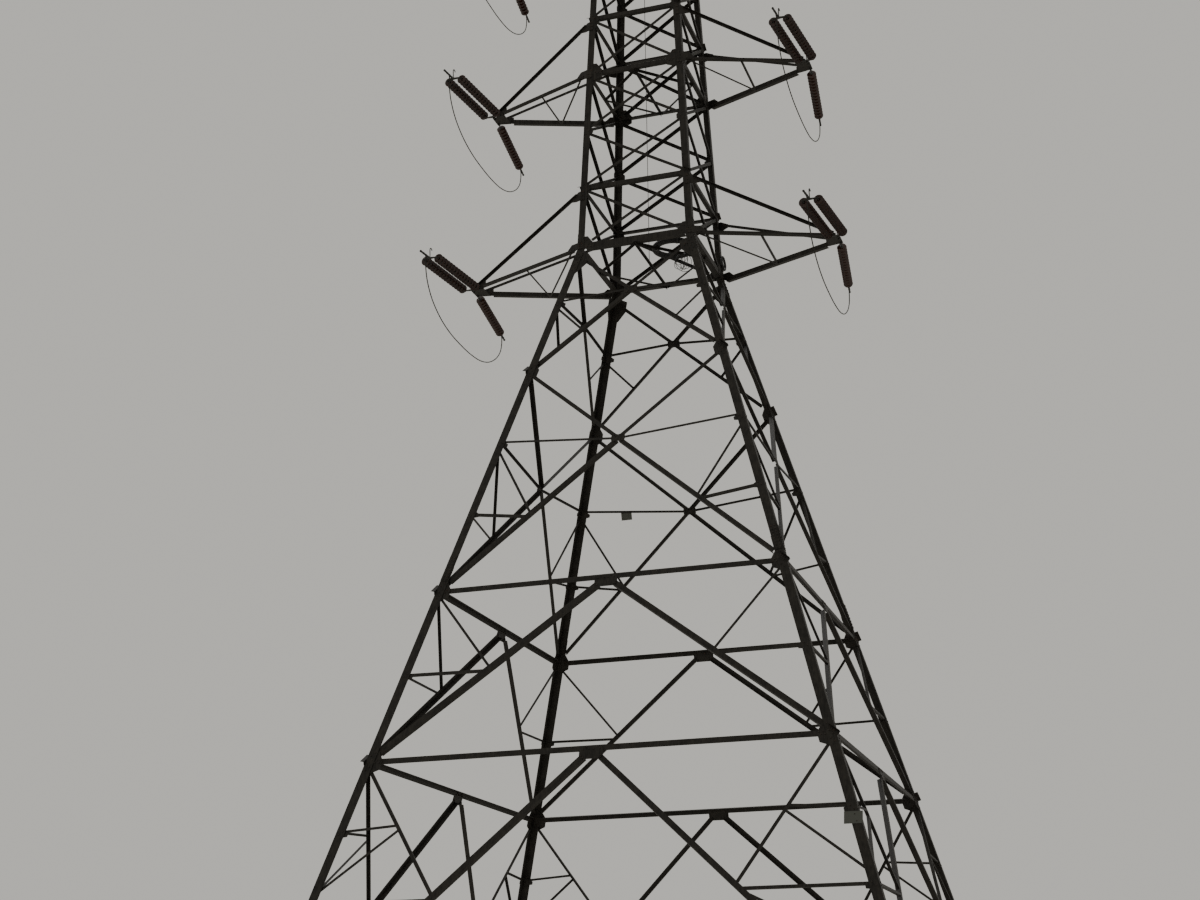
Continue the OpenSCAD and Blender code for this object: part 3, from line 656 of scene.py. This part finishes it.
for turn in range(4):
    for part, places in half_bolts.items():
        for x, y, seat, grip in places:
            for mirrored in (1, -1):
                if by_cover(turn, part, mirrored * x, y):
                    continue
                on_cleat = mirrored == -1 and seat == 0 and under_cleat(part, np.array((x, y)))
                raised = cleat_t if on_cleat else 0
                side_bolt(turn, part, mirrored * x, y, seat + raised, grip + raised)
for turn, part, x, y in cover_bolts:
    side_bolt(turn, part, x, y, cover_t, cover_t + leg_t[part])
for turn in range(4):
    for part, corner, along in cleats:
        for reach in cleat_bolts:
            x, y = corner + along * reach
            side_bolt(turn, part, -x, y, cleat_t, cleat_t + leg_t[part])
print("groups of bolts on the sides:", len(bolt_groups))

# %% [markdown]
# ## Bolts of the peak and the arms
# The bars of the peak and the arms lap flat on its legs and on the chords, so their bolts go
# straight through. Each of these planes leans its own way and gets its own frame. One side
# of the peak and one truss of an arm are worked out, and the rest are turned or mirrored.

# %% Bolts of the peak
peak_high, peak_top_half, peak_grip, peak_bolt_d = 4.6, 0.150, 0.016, 0.016
peak_inset, peak_inset_beside = 0.079, 0.066
peak_foot_z = cage_z[-1] + 0.10
peak_foot_half = half_width(peak_foot_z)
peak_slope = (peak_foot_half - peak_top_half) / peak_high
peak_lean = math.atan(peak_slope)
peak_levels = (0.02, 0.36, 0.66, 0.9)
for turn in range(4):
    peak_side = (Matrix.Rotation(turn * math.pi / 2, 4, "Z")
                 @ Matrix.Translation((0, -peak_foot_half, peak_foot_z))
                 @ Matrix.Rotation(math.pi / 2 - peak_lean, 4, "X"))
    for t in peak_levels:
        rise = t * peak_high
        corner = peak_foot_half - peak_slope * rise
        steps = [0.0] + [row_pitch] * (t < peak_levels[-1]) + [-row_pitch] * (t > peak_levels[0])
        for step in steps:
            for mirrored in (1, -1):
                inset = peak_inset if step == 0 else peak_inset_beside
                spot = (mirrored * (corner - inset - peak_slope * step),
                        (rise + step) / math.cos(peak_lean), 0)
                add_bolt("bolts_peak", peak_side @ Matrix.Translation(spot), peak_grip, peak_bolt_d)
print("bolts of the peak:", sum(len(frames) for frames in bolt_groups["bolts_peak"].values()))

# %% Plane of an arm's side truss
chord_back, tip_half, arm_rise = 0.070, 0.160, 1.65
arm_plate_face, arm_grip, strap_grip = 0.010, 0.017, 0.024


def upright_frame(place, outward):
    """Frame at a place with Z outwards, the same way round when it is mirrored."""
    z = Vector(outward).normalized()
    x = Vector((0, 0, 1)).cross(z).normalized() if abs(z.z) < 0.9 else Vector((1, 0, 0))
    return Matrix.Translation(place) @ Matrix((x, z.cross(x), z)).transposed().to_4x4()


def truss_plane(level):
    """Root, high end, tip, and the axes of the near side truss of a right-hand arm."""
    z = arm_z(level)
    root = np.array((half_width(z), -half_width(z), z))
    high = np.array((half_width(z + arm_rise), -half_width(z + arm_rise), z + arm_rise))
    tip = np.array((arm_reach[level] - chord_back, -tip_half, z))
    ex = unit(tip - root)
    ez = unit(np.cross(tip - root, high - root))
    return root, high, tip, ex, np.cross(ez, ex), ez


# %% Bolts of the arms, from one truss a level that is mirrored to the other three
root_bolts, root_gauge = (0.120, 0.165, 0.210, 0.255), 0.030
tip_bolts, tip_gauge = (0.300, 0.240, 0.180, 0.120), 0.022
high_bolts, tip_node_y = (0.130, 0.185, 0.240), 0.020
strap_count, strap_near = 3, 0.045
front = side_frame(0, "up")
front_outward = np.array(front.to_3x3() @ Vector((0, 0, 1)))
arm_spots = {}
for level in levels:
    root, high, tip, ex, ey, ez = truss_plane(level)
    run = np.linalg.norm(tip - root)
    high_end = np.array(((high - root) @ ex, (high - root) @ ey))
    down = unit(np.array((run, tip_node_y)) - high_end)
    spots = [(x, root_gauge * (-1) ** i) for i, x in enumerate(root_bolts)]
    spots += [(run - x, tip_gauge * (-1) ** i) for i, x in enumerate(tip_bolts)]
    spots += [tuple(high_end + down * r) for r in high_bolts]
    arm_spots[level] = [(root + ex * x + ey * y + ez * arm_plate_face, ez, arm_grip) for x, y in spots]
    low_strap = (0.03 if level == "low" else -0.06, 0.160, 0.112)
    high_strap = (arm_rise - 0.180, arm_rise + 0.040, 0.085)
    for low_z, high_z, out_far in (low_strap, high_strap):
        for i in range(strap_count):
            z = arm_z(level) + low_z + i * (high_z - low_z) / (strap_count - 1)
            for out in (strap_near, out_far):
                x, y = up(1, z) + (out, 0)
                spot = np.array(front @ Vector((-x, y, arm_plate_face)))
                arm_spots[level].append((spot, front_outward, strap_grip))
for level, side in arms:
    for place, outward, grip in arm_spots[level]:
        for depth in (1, -1):
            flip = np.array((sides[side], depth, 1))
            add_bolt(f"bolts_arm_{level}_{side}", upright_frame(place * flip, outward * flip), grip)
print("bolts of an arm:", 2 * len(arm_spots["low"]))

# %% [markdown]
# ## Bare plates
# Towers carry small enamelled plates. One hangs inside the far side and comes from the CAD
# model. The other is fixed across the front flange of the near right leg. A box could stand
# for it, but an outline in the side's own frame lets it lie flat on the leaning leg. Both
# stay bare.

# %% Bolts of the plate on the far side
sheet_t, sheet_bolt_d = 0.003, 0.010
far_plate_x, far_plate_drop, far_plate_rise = (1.69, 1.89), 0.28, 0.195
far_plate_y = low(1, cross_tie_z[0] - far_plate_drop)[1] + far_plate_rise
for x in far_plate_x:
    side_bolt(2, "low", x, far_plate_y, sheet_t - lay["low"], sheet_t + bar_t, sheet_bolt_d)
print("bolts of the far plate:", len(far_plate_x), "at", round(far_plate_y, 2), "along the slope")

# %% Plate on the near right leg
leg_plate_z, leg_plate_w, leg_plate_h, leg_plate_t = 5.06, 0.37, 0.26, 0.004
leg_plate_past, leg_plate_bolt_d = 0.01, 0.014  # how far it runs past the corner line
bolt_line, bolt_slant = 0.10, 0.27  # the two bolts follow the slant of the leg
corner_x, corner_y = low(-1, leg_plate_z)
outline = [(corner_x + x, corner_y + y) for x, y in
           ((-leg_plate_w, 0), (leg_plate_past, 0), (leg_plate_past, leg_plate_h),
            (-leg_plate_w, leg_plate_h))]
leg_plate_mesh = repeated(*plate(outline, 0, leg_plate_t), [side_frame(0, "low")])
leg_plate_piece = new_piece("leg_plate", *leg_plate_mesh, smooth=False)
for rise in (0.05, 0.20):
    side_bolt(0, "low", corner_x - bolt_line - bolt_slant * rise, corner_y + rise, leg_plate_t,
              leg_plate_t + leg_t["low"], leg_plate_bolt_d)
print("plate on the leg:", round(leg_plate_w + leg_plate_past, 2), "by", leg_plate_h, "m")

# %% Make the bolts
bolt_pieces = []
for name, kinds in bolt_groups.items():
    parts = [repeated(*bolt(d, grip), frames) for (d, grip), frames in kinds.items()]
    piece = new_piece(name, *joined(parts), smooth=False)
    bolt_pieces.append(piece)
print("bolts:", sum(len(frames) for kinds in bolt_groups.values() for frames in kinds.values()))

# %% [markdown]
# ## Horns, pins and collars of the insulator sets
# A horn is a bent steel rod beside the string. If lightning strikes, the arc jumps between
# the horns and spares the porcelain. The near sets have a tall hooked horn at the live end
# and a short one at the tower's end. The far sets have a short rod only. The rods are swept
# round sections, because their bends are what shows. The pins are bolts, and the collars on
# the clamps are turned bands.

# %% Rods
def round_ring(radius, sides_round=8):
    angles = [math.tau * k / sides_round for k in range(sides_round)]
    section = [(radius * math.cos(a), radius * math.sin(a)) for a in angles]
    return lambda i: section


def rod(points, diameter, step=0.02):
    return swept(even_line([Vector((x, 0, z)) for x, z in points], step), round_ring(diameter / 2))


horn_d = 0.026  # drawn a little thicker than the real 18 mm, or it would vanish in the render
live = string_start + string_len
near_horn = [(live + x, z) for x, z in ((0.065, 0.006), (0.066, 0.090), (0.072, 0.190), (0.066, 0.262),
                                        (0.030, 0.296), (-0.016, 0.284), (-0.034, 0.250))]
short_horn = [(0.128, 0.006), (0.132, 0.110), (0.160, 0.200), (0.215, 0.262), (0.290, 0.280)]
far_horn = [(live + x, z) for x, z in ((0.030, 0.010), (0.036, 0.090), (0.030, 0.180), (0.004, 0.262))]


# %% Collars and pins
edge = 0.002


def collar(x, radius, width, wall=0.005):
    """Band round a bar along X, its edges a little bevelled and its inside let in."""
    profile = [(radius - edge, x - width / 2), (radius + wall, x - width / 2 + edge),
               (radius + wall, x + width / 2 - edge), (radius - edge, x + width / 2)]
    return turned(profile, 16)


def head_and_nut(x, y, half, d):
    points, faces = bolt(d, 2 * half)
    return [tuple(Vector(p) + Vector((x, y, half))) for p in points], faces


# %% Horns, pins and collars of each set
clamp_d, clamp_start, collar_w = 0.052, 0.100, 0.022
near_pin_x, live_pin_x = 0.150, live + 0.052
collar_places = (0.064, 0.190, 0.300, 0.452)
link_half, link_pin_d, yoke_half = 0.025, 0.026, 0.008
near_parts = [rod(near_horn, horn_d), rod(short_horn, horn_d), head_and_nut(0, 0, link_half, link_pin_d)]
near_parts += [head_and_nut(x, y, yoke_half, bolt_d) for x in (near_pin_x, live_pin_x)
               for y in (-string_gap / 2, string_gap / 2)]
near_parts += [collar(live + clamp_start + x, clamp_d / 2, collar_w) for x in collar_places]
far_parts = [rod(far_horn, horn_d), head_and_nut(0, 0, link_half, link_pin_d)]
far_parts += [collar(live + x, clamp_d / 2, collar_w) for x in collar_places]
horn_pieces = []
for level, side in arms:
    parts = [repeated(*joined(parts), [set_frame(level, side, near)])
             for parts, near in ((near_parts, True), (far_parts, False))]
    horns = new_piece(f"horns_{level}_{side}", *joined(parts), smooth=False)
    horn_pieces.append(horns)
print("faces of a set's horns and pins:", len(horns.data.polygons))

# %% [markdown]
# ## Spare cable
# Crews leave the spare length of a thin black cable on the tower, wound into a coil and
# taped. The CAD model holds its room with one plain ring. A real coil is one cable that
# goes round some thirty times, each turn lying in its own place in the bundle, so the path
# walks through a honeycomb of places while it goes round. Separate rings would be simpler,
# but then no turn would lead to the next, and that shows from near.

# %% Wound coil in place of the plain ring
coil_low, coil_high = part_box("cable_coil")
coil_middle = (Vector(coil_low) + Vector(coil_high)) / 2
coil_radius, cable_d, bundle_radius = 0.480, 0.024, 0.0835
coil_steps, coil_wobble = 40, 0.004
tape_count, tape_start, tape_w, tape_t = 4, 0.3, 0.045, 0.003
honeycomb = [(0.0, 0.0)]
for ring_radius, count, first in ((0.026, 6, 0), (0.050, 12, 15), (0.070, 16, 4)):
    angles = [math.radians(first) + math.tau * k / count for k in range(count)]
    honeycomb += [(ring_radius * math.cos(a), ring_radius * math.sin(a)) for a in angles]


def wound(middle, radius, places, diameter, steps, wobble):
    """One cable that goes round once for each place in the bundle's section."""
    points = []
    for i in range(len(places) * steps + 1):
        turn_number, part_turn = divmod(i, steps)
        now = places[min(turn_number, len(places) - 1)]
        then = places[min(turn_number + 1, len(places) - 1)]
        t = max(0.0, part_turn / steps * 4 - 3)  # it changes place in the last quarter
        aside, rise = (a * (1 - t) + b * t for a, b in zip(now, then))
        angle = math.tau * i / steps
        r = radius + aside + wobble * math.sin(2 * angle + turn_number)
        points.append((middle[0] + r * math.cos(angle), middle[1] + r * math.sin(angle),
                       middle[2] + rise))
    return swept(points, round_ring(diameter / 2, 6))


coil_parts = [wound(coil_middle, coil_radius, honeycomb, cable_d, coil_steps, coil_wobble)]
for k in range(tape_count):
    angle = math.tau * (k + tape_start) / tape_count
    place = (Matrix.Translation(coil_middle) @ Matrix.Rotation(angle, 4, "Z")
             @ Matrix.Translation((coil_radius, 0, 0)) @ Matrix.Rotation(math.pi / 2, 4, "Z"))
    coil_parts.append(repeated(*collar(0, bundle_radius, tape_w, tape_t), [place]))
coil_piece = new_piece("spare_cable_coil", *joined(coil_parts))
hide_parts("cable_coil")
print("coil:", len(honeycomb), "turns")

# %% [markdown]
# ## Hank of thin leads
# Thinner leads hang in loose loops from a plan bar beside the coil. Each loop has its own
# width, length and twist, from a fixed seed. Even loops would be quicker to make, but a hank
# that was hung up by hand never looks like that.

# %% Loops of the hank
random.seed(11)
hank_top, loop_points, lead_radius = Vector((1.000, -0.500, 20.640)), 30, 0.007
hank_loops, loop_small, loop_large = 7, 0.17, 0.25
facing_angle, facing_spread = -20, 50
hank_parts = []
for k in range(hank_loops):
    wide, high = random.uniform(loop_small, loop_large), random.uniform(loop_small, loop_large)
    spin = math.radians(facing_angle + random.uniform(-facing_spread, facing_spread))
    lean_by = random.uniform(-0.10, 0.16)
    loop = []
    for a in (math.tau * i / loop_points for i in range(loop_points + 1)):
        ring = Vector((wide * math.sin(a) * math.cos(spin), wide * math.sin(a) * math.sin(spin),
                       high * (math.cos(a) - 1)))
        loop.append(hank_top + ring + Vector((lean_by, lean_by, 0)) * (1 - math.cos(a)) / 2)
    hank_parts.append(swept(loop, round_ring(lead_radius, 5)))
hank_piece = new_piece("spare_cable_hank", *joined(hank_parts))
print("hank:", len(hank_parts), "loops")

# %% [markdown]
# ## Small coil
# A few turns of cable hang from a pin on the far right leg. They are wound like the large
# coil, through the seven inner places of the same honeycomb, so one function makes both.

# %% Small coil and its pin
hang_z, hang_inset, hang_depth, pin_rise = 21.15, 0.03, 0.036, 0.150
pin_radius, pin_in, pin_out = 0.010, 0.030, 0.050
small_radius, small_cable_d, small_steps, small_wobble = 0.185, 0.018, 32, 0.006
hang_x = half_width(hang_z + 0.05) - hang_inset
leg_hang = side_frame(1, "up") @ Matrix.Translation((hang_x, hang_z - waist_z, hang_depth))
ring = wound(Vector((0, 0, 0)), small_radius, honeycomb[:7], small_cable_d, small_steps, small_wobble)
hang_pin = prism(6, pin_radius, -pin_in, pin_out)
pin_place = leg_hang @ Matrix.Translation((0, pin_rise, 0))
small_coil_piece = new_piece("small_coil", *joined([repeated(*ring, [leg_hang]),
                                                    repeated(*hang_pin, [pin_place])]))
print("small coil:", round(2 * small_radius, 2), "m across")

# %% [markdown]
# ## Floor, light and sky
# A pale floor and an even pale sky let the open frame read as the photograph shows it, dark
# against light. A photograph of a sky could do that too, but it would be a file to read. One
# broad sun gives each angle a lit and a shaded flange.

# %% Colour and node helpers
def linear(code):
    """A #rrggbb colour as the linear values that shaders use."""
    parts = [int(code[i:i + 2], 16) / 255 for i in (1, 3, 5)]
    return [c / 12.92 if c <= 0.04045 else ((c + 0.055) / 1.055) ** 2.4 for c in parts] + [1]


def add(tree, kind, inputs=None, **settings):
    """Adds a node. Inputs are values, or (node, output) pairs to link."""
    node = tree.nodes.new(kind)
    for name, value in settings.items():
        setattr(node, name, value)
    for name, value in (inputs or {}).items():
        if isinstance(value, tuple) and isinstance(value[0], bpy.types.Node):
            tree.links.new(value[0].outputs[value[1]], node.inputs[name])
        else:
            node.inputs[name].default_value = value
    return node


def begin(name):
    """A new material with its shader, and the place in metres that its patterns use."""
    material = bpy.data.materials.new(name)
    material.use_nodes = True
    tree = material.node_tree
    tree.nodes.clear()
    shader = add(tree, "ShaderNodeBsdfPrincipled")
    add(tree, "ShaderNodeOutputMaterial", {"Surface": (shader, 0)})
    return material, tree, shader, add(tree, "ShaderNodeTexCoord")


def per_metre(millimetres):
    """Scale of a pattern whose patches are that many millimetres across."""
    return 1000 / millimetres


# %% Floor and sky
floor_mesh = bpy.data.meshes.new("floor")
floor_half, floor_z = 600, -0.002
corners = [(x * floor_half, y * floor_half, floor_z) for x, y in ((-1, -1), (1, -1), (1, 1), (-1, 1))]
floor_mesh.from_pydata(corners, [], [(0, 1, 2, 3)])
floor = bpy.data.objects.new("floor", floor_mesh)
bpy.context.scene.collection.objects.link(floor)
floor_paint, tree, shader, place = begin("matt floor paint")
shader.inputs["Base Color"].default_value = linear("#d6d3cc")
shader.inputs["Roughness"].default_value = 0.9
floor_mesh.materials.append(floor_paint)

world = bpy.data.worlds.new("studio sky")
bpy.context.scene.world = world
world.use_nodes = True
world.node_tree.nodes["Background"].inputs["Color"].default_value = linear("#cdcbc5")
world.node_tree.nodes["Background"].inputs["Strength"].default_value = 0.9

sun = bpy.data.objects.new("key light", bpy.data.lights.new("key light", "SUN"))
sun.data.energy = 0.8
sun.data.angle = math.radians(25)
sun.rotation_euler = (math.radians(38), 0, math.radians(-120))
bpy.context.scene.collection.objects.link(sun)
print("floor:", 2 * floor_half, "m wide")

# %% [markdown]
# ## Weathered galvanised steel, darkened as painted shade
# The angles are mild steel, dipped in molten zinc after cutting. Fresh zinc is bright and
# spangled. After decades in damp air it turns to a dull grey-brown coat with rain streaks,
# and rust comes through in spots. So the metal is rough, only partly metallic, and its
# colour drifts over some 200 mm patches, streaked downwards. Noises give that from any side
# without a picture wrapped round hundreds of bars. The grain of the coat is a millimetre or
# less, too fine to show, so it is drawn 12 mm coarse. All the tones are drawn far darker
# than such a coat: that darkness is painted shade, for a frame lit from behind.

# %% Steel
def weathered_steel_in_painted_shade(name, dark, light, rust, rust_share):
    material, tree, shader, place = begin(name)
    drift = add(tree, "ShaderNodeTexNoise", {"Vector": (place, "Object"),
                "Scale": per_metre(220), "Detail": 6, "Roughness": 0.6})
    stretch = add(tree, "ShaderNodeMapping", {"Vector": (place, "Object"), "Scale": (1, 1, 0.08)})
    streaks = add(tree, "ShaderNodeTexNoise", {"Vector": (stretch, 0),
                  "Scale": per_metre(35), "Detail": 3})
    both = add(tree, "ShaderNodeMath", {0: (drift, "Fac"), 1: (streaks, "Fac")}, operation="ADD")
    half = add(tree, "ShaderNodeMath", {0: (both, 0), 1: 0.5}, operation="MULTIPLY")
    zinc = add(tree, "ShaderNodeValToRGB", {"Fac": (half, 0)})
    low_stop, high_stop = zinc.color_ramp.elements
    low_stop.position, high_stop.position = 0.38, 0.64
    low_stop.color, high_stop.color = linear(dark), linear(light)
    spots = add(tree, "ShaderNodeTexNoise", {"Vector": (place, "Object"),
                "Scale": per_metre(90), "Detail": 8, "Roughness": 0.7})
    rusty = add(tree, "ShaderNodeMapRange", {"Value": (spots, "Fac"),
                "From Min": 0.72 - rust_share, "From Max": 0.82 - rust_share})
    colour = add(tree, "ShaderNodeMix", {"Factor": (rusty, 0), 6: (zinc, 0), 7: linear(rust)},
                 data_type="RGBA")
    rough = add(tree, "ShaderNodeMapRange", {"Value": (half, 0), "To Min": 0.5, "To Max": 0.78})
    grain = add(tree, "ShaderNodeTexNoise", {"Vector": (place, "Object"),
                "Scale": per_metre(12), "Detail": 4})
    bump = add(tree, "ShaderNodeBump", {"Height": (grain, "Fac"), "Strength": 0.25,
               "Distance": 0.002})
    tree.links.new(colour.outputs[2], shader.inputs["Base Color"])
    tree.links.new(rough.outputs[0], shader.inputs["Roughness"])
    tree.links.new(bump.outputs[0], shader.inputs["Normal"])
    shader.inputs["Metallic"].default_value = 0.55
    return material


# These dark and light tones are weathered zinc made much darker as painted shade; the rust spots and
# streaks are real.
angle_steel = weathered_steel_in_painted_shade("weathered galvanised angle in painted shade", "#1d1b18", "#383530", "#3d281b", 0.05)
bolt_steel = weathered_steel_in_painted_shade("rusting bolt steel in painted shade", "#2b2622", "#453f39", "#4a2c1b", 0.16)
forged_steel = weathered_steel_in_painted_shade("galvanised forging", "#2a2a28", "#464643", "#3b2a1f", 0.05)
print("steels:", angle_steel.name, "|", bolt_steel.name, "|", forged_steel.name)

# %% [markdown]
# ## Glazed porcelain
# The shells are fired clay under a dark brown glaze. The glaze is glass, so it has a sharp,
# colourless shine over a deep colour, and dust dulls the sides that face up. The dust could
# be a second material. It is mixed in by the way a surface faces, so that it has no edge.

# %% Porcelain
brown_glaze, tree, shader, place = begin("brown glazed porcelain")
cloud = add(tree, "ShaderNodeTexNoise", {"Vector": (place, "Object"), "Scale": per_metre(60), "Detail": 4})
glaze = add(tree, "ShaderNodeValToRGB", {"Fac": (cloud, "Fac")})
low_stop, high_stop = glaze.color_ramp.elements
low_stop.color, high_stop.color = linear("#20120d"), linear("#3f241a")
facing = add(tree, "ShaderNodeNewGeometry")
upward = add(tree, "ShaderNodeSeparateXYZ", {0: (facing, "Normal")})
dust = add(tree, "ShaderNodeMapRange", {"Value": (upward, "Z"), "From Min": 0.3, "From Max": 1.0,
           "To Max": 0.35})
dusty = add(tree, "ShaderNodeMix", {"Factor": (dust, 0), 6: (glaze, 0), 7: linear("#6b6258")},
            data_type="RGBA")
gloss = add(tree, "ShaderNodeMapRange", {"Value": (dust, 0), "From Max": 0.35, "To Min": 0.12,
            "To Max": 0.5})
tree.links.new(dusty.outputs[2], shader.inputs["Base Color"])
tree.links.new(gloss.outputs[0], shader.inputs["Roughness"])
shader.inputs["IOR"].default_value = 1.5
print("glaze:", brown_glaze.name)

# %% [markdown]
# ## Weathered aluminium
# Hard-drawn aluminium wire is bright when new. In the open it turns a dull grey, and dirt
# settles between the strands. A flat grey would look like paint, so one soft noise moves the
# tone of a rather rough metal.

# %% Aluminium
old_aluminium, tree, shader, place = begin("weathered aluminium strand")
haze = add(tree, "ShaderNodeTexNoise", {"Vector": (place, "Object"), "Scale": per_metre(45), "Detail": 5})
tone = add(tree, "ShaderNodeValToRGB", {"Fac": (haze, "Fac")})
low_stop, high_stop = tone.color_ramp.elements
low_stop.color, high_stop.color = linear("#232221"), linear("#45443f")
tree.links.new(tone.outputs[0], shader.inputs["Base Color"])
shader.inputs["Metallic"].default_value = 0.8
shader.inputs["Roughness"].default_value = 0.5

print("strand:", old_aluminium.name)

# %% [markdown]
# ## Cast concrete
# The footings are poured into forms. They are pale grey with rain stains and small pores.
# The pores could be cut into the mesh, but a bump shows them as well at this distance. Real
# grit is 2 to 8 mm, too fine to show, so it is drawn at 14 mm.

# %% Concrete
cast_concrete, tree, shader, place = begin("cast concrete")
coarse = add(tree, "ShaderNodeTexNoise", {"Vector": (place, "Object"),
             "Scale": per_metre(160), "Detail": 8, "Roughness": 0.65})
body = add(tree, "ShaderNodeValToRGB", {"Fac": (coarse, "Fac")})
low_stop, high_stop = body.color_ramp.elements
low_stop.position, high_stop.position = 0.3, 0.7
low_stop.color, high_stop.color = linear("#6e6a61"), linear("#9c978c")
grit = add(tree, "ShaderNodeTexVoronoi", {"Vector": (place, "Object"), "Scale": per_metre(14)})
pores = add(tree, "ShaderNodeBump", {"Height": (grit, "Distance"), "Strength": 0.35, "Distance": 0.004})
tree.links.new(body.outputs[0], shader.inputs["Base Color"])
tree.links.new(pores.outputs[0], shader.inputs["Normal"])
shader.inputs["Roughness"].default_value = 0.88

print("footings:", cast_concrete.name)

# %% [markdown]
# ## Black sheath
# The spare cable is covered with extruded black polyethylene. It is matt and even, a little
# paler where it has rubbed on steel, so its colour hardly drifts.

# %% Cable sheath
black_sheath, tree, shader, place = begin("black polyethylene sheath")
scuff = add(tree, "ShaderNodeTexNoise", {"Vector": (place, "Object"), "Scale": per_metre(30), "Detail": 4})
skin = add(tree, "ShaderNodeValToRGB", {"Fac": (scuff, "Fac")})
low_stop, high_stop = skin.color_ramp.elements
low_stop.color, high_stop.color = linear("#151515"), linear("#2c2b2a")
tree.links.new(skin.outputs[0], shader.inputs["Base Color"])
shader.inputs["Roughness"].default_value = 0.55

print("spare cable:", black_sheath.name)

# %% [markdown]
# ## Stove enamel
# The bare plates are sheet steel under baked enamel. It is smoother than the zinc round it,
# and rust shows where it has chipped. The enamel itself is pale, but it is drawn dark grey:
# painted shade, for plates seen against the light. A noise with a sharp limit marks the
# chips, where modelled ones would be far too small to see.

# %% Plate enamel
stove_enamel, tree, shader, place = begin("chipped stove enamel")
chips = add(tree, "ShaderNodeTexNoise", {"Vector": (place, "Object"),
            "Scale": per_metre(50), "Detail": 8, "Roughness": 0.7})
chipped = add(tree, "ShaderNodeMapRange", {"Value": (chips, "Fac"), "From Min": 0.62, "From Max": 0.66})
# The grey of the coat is painted shade, since the plates' own paint is pale; the rust-brown chips are real
# wear.
coat = add(tree, "ShaderNodeMix", {"Factor": (chipped, 0), 6: linear("#44463f"), 7: linear("#4c3224")},
           data_type="RGBA")
tree.links.new(coat.outputs[2], shader.inputs["Base Color"])
shader.inputs["Roughness"].default_value = 0.4

print("plates:", stove_enamel.name)

# %% [markdown]
# ## Finishes on the pieces
# The record gives each CAD node a slot, and a slot is one finish. The added pieces take the
# finish of what they are made of. Bolts are rustier than the bars that they hold, because
# their zinc is spun off the threads while it is hot and stays thin.

# %% Finish of each CAD node, by the record's slot
slot_finish = {"galvanised_steel": angle_steel, "porcelain": brown_glaze,
               "fitting_steel": forged_steel, "cable_aluminium": old_aluminium,
               "cable_sheath": black_sheath, "concrete": cast_concrete,
               "plate_paint": stove_enamel}
for part in frame["record"]["subparts"]:
    node = frame["nodes"][part["node"]]
    finish = slot_finish[part["material_slot"]]
    for place in node.material_slots:
        place.material = finish
for pieces, finish in ((jumper_pieces, old_aluminium), (disc_pieces, brown_glaze),
                       (cap_pieces + horn_pieces, forged_steel), (bolt_pieces, bolt_steel),
                       ([cleat_piece, cover_piece], angle_steel), ([leg_plate_piece], stove_enamel),
                       ([coil_piece, hank_piece, small_coil_piece], black_sheath)):
    for piece in pieces:
        piece.data.materials.append(finish)
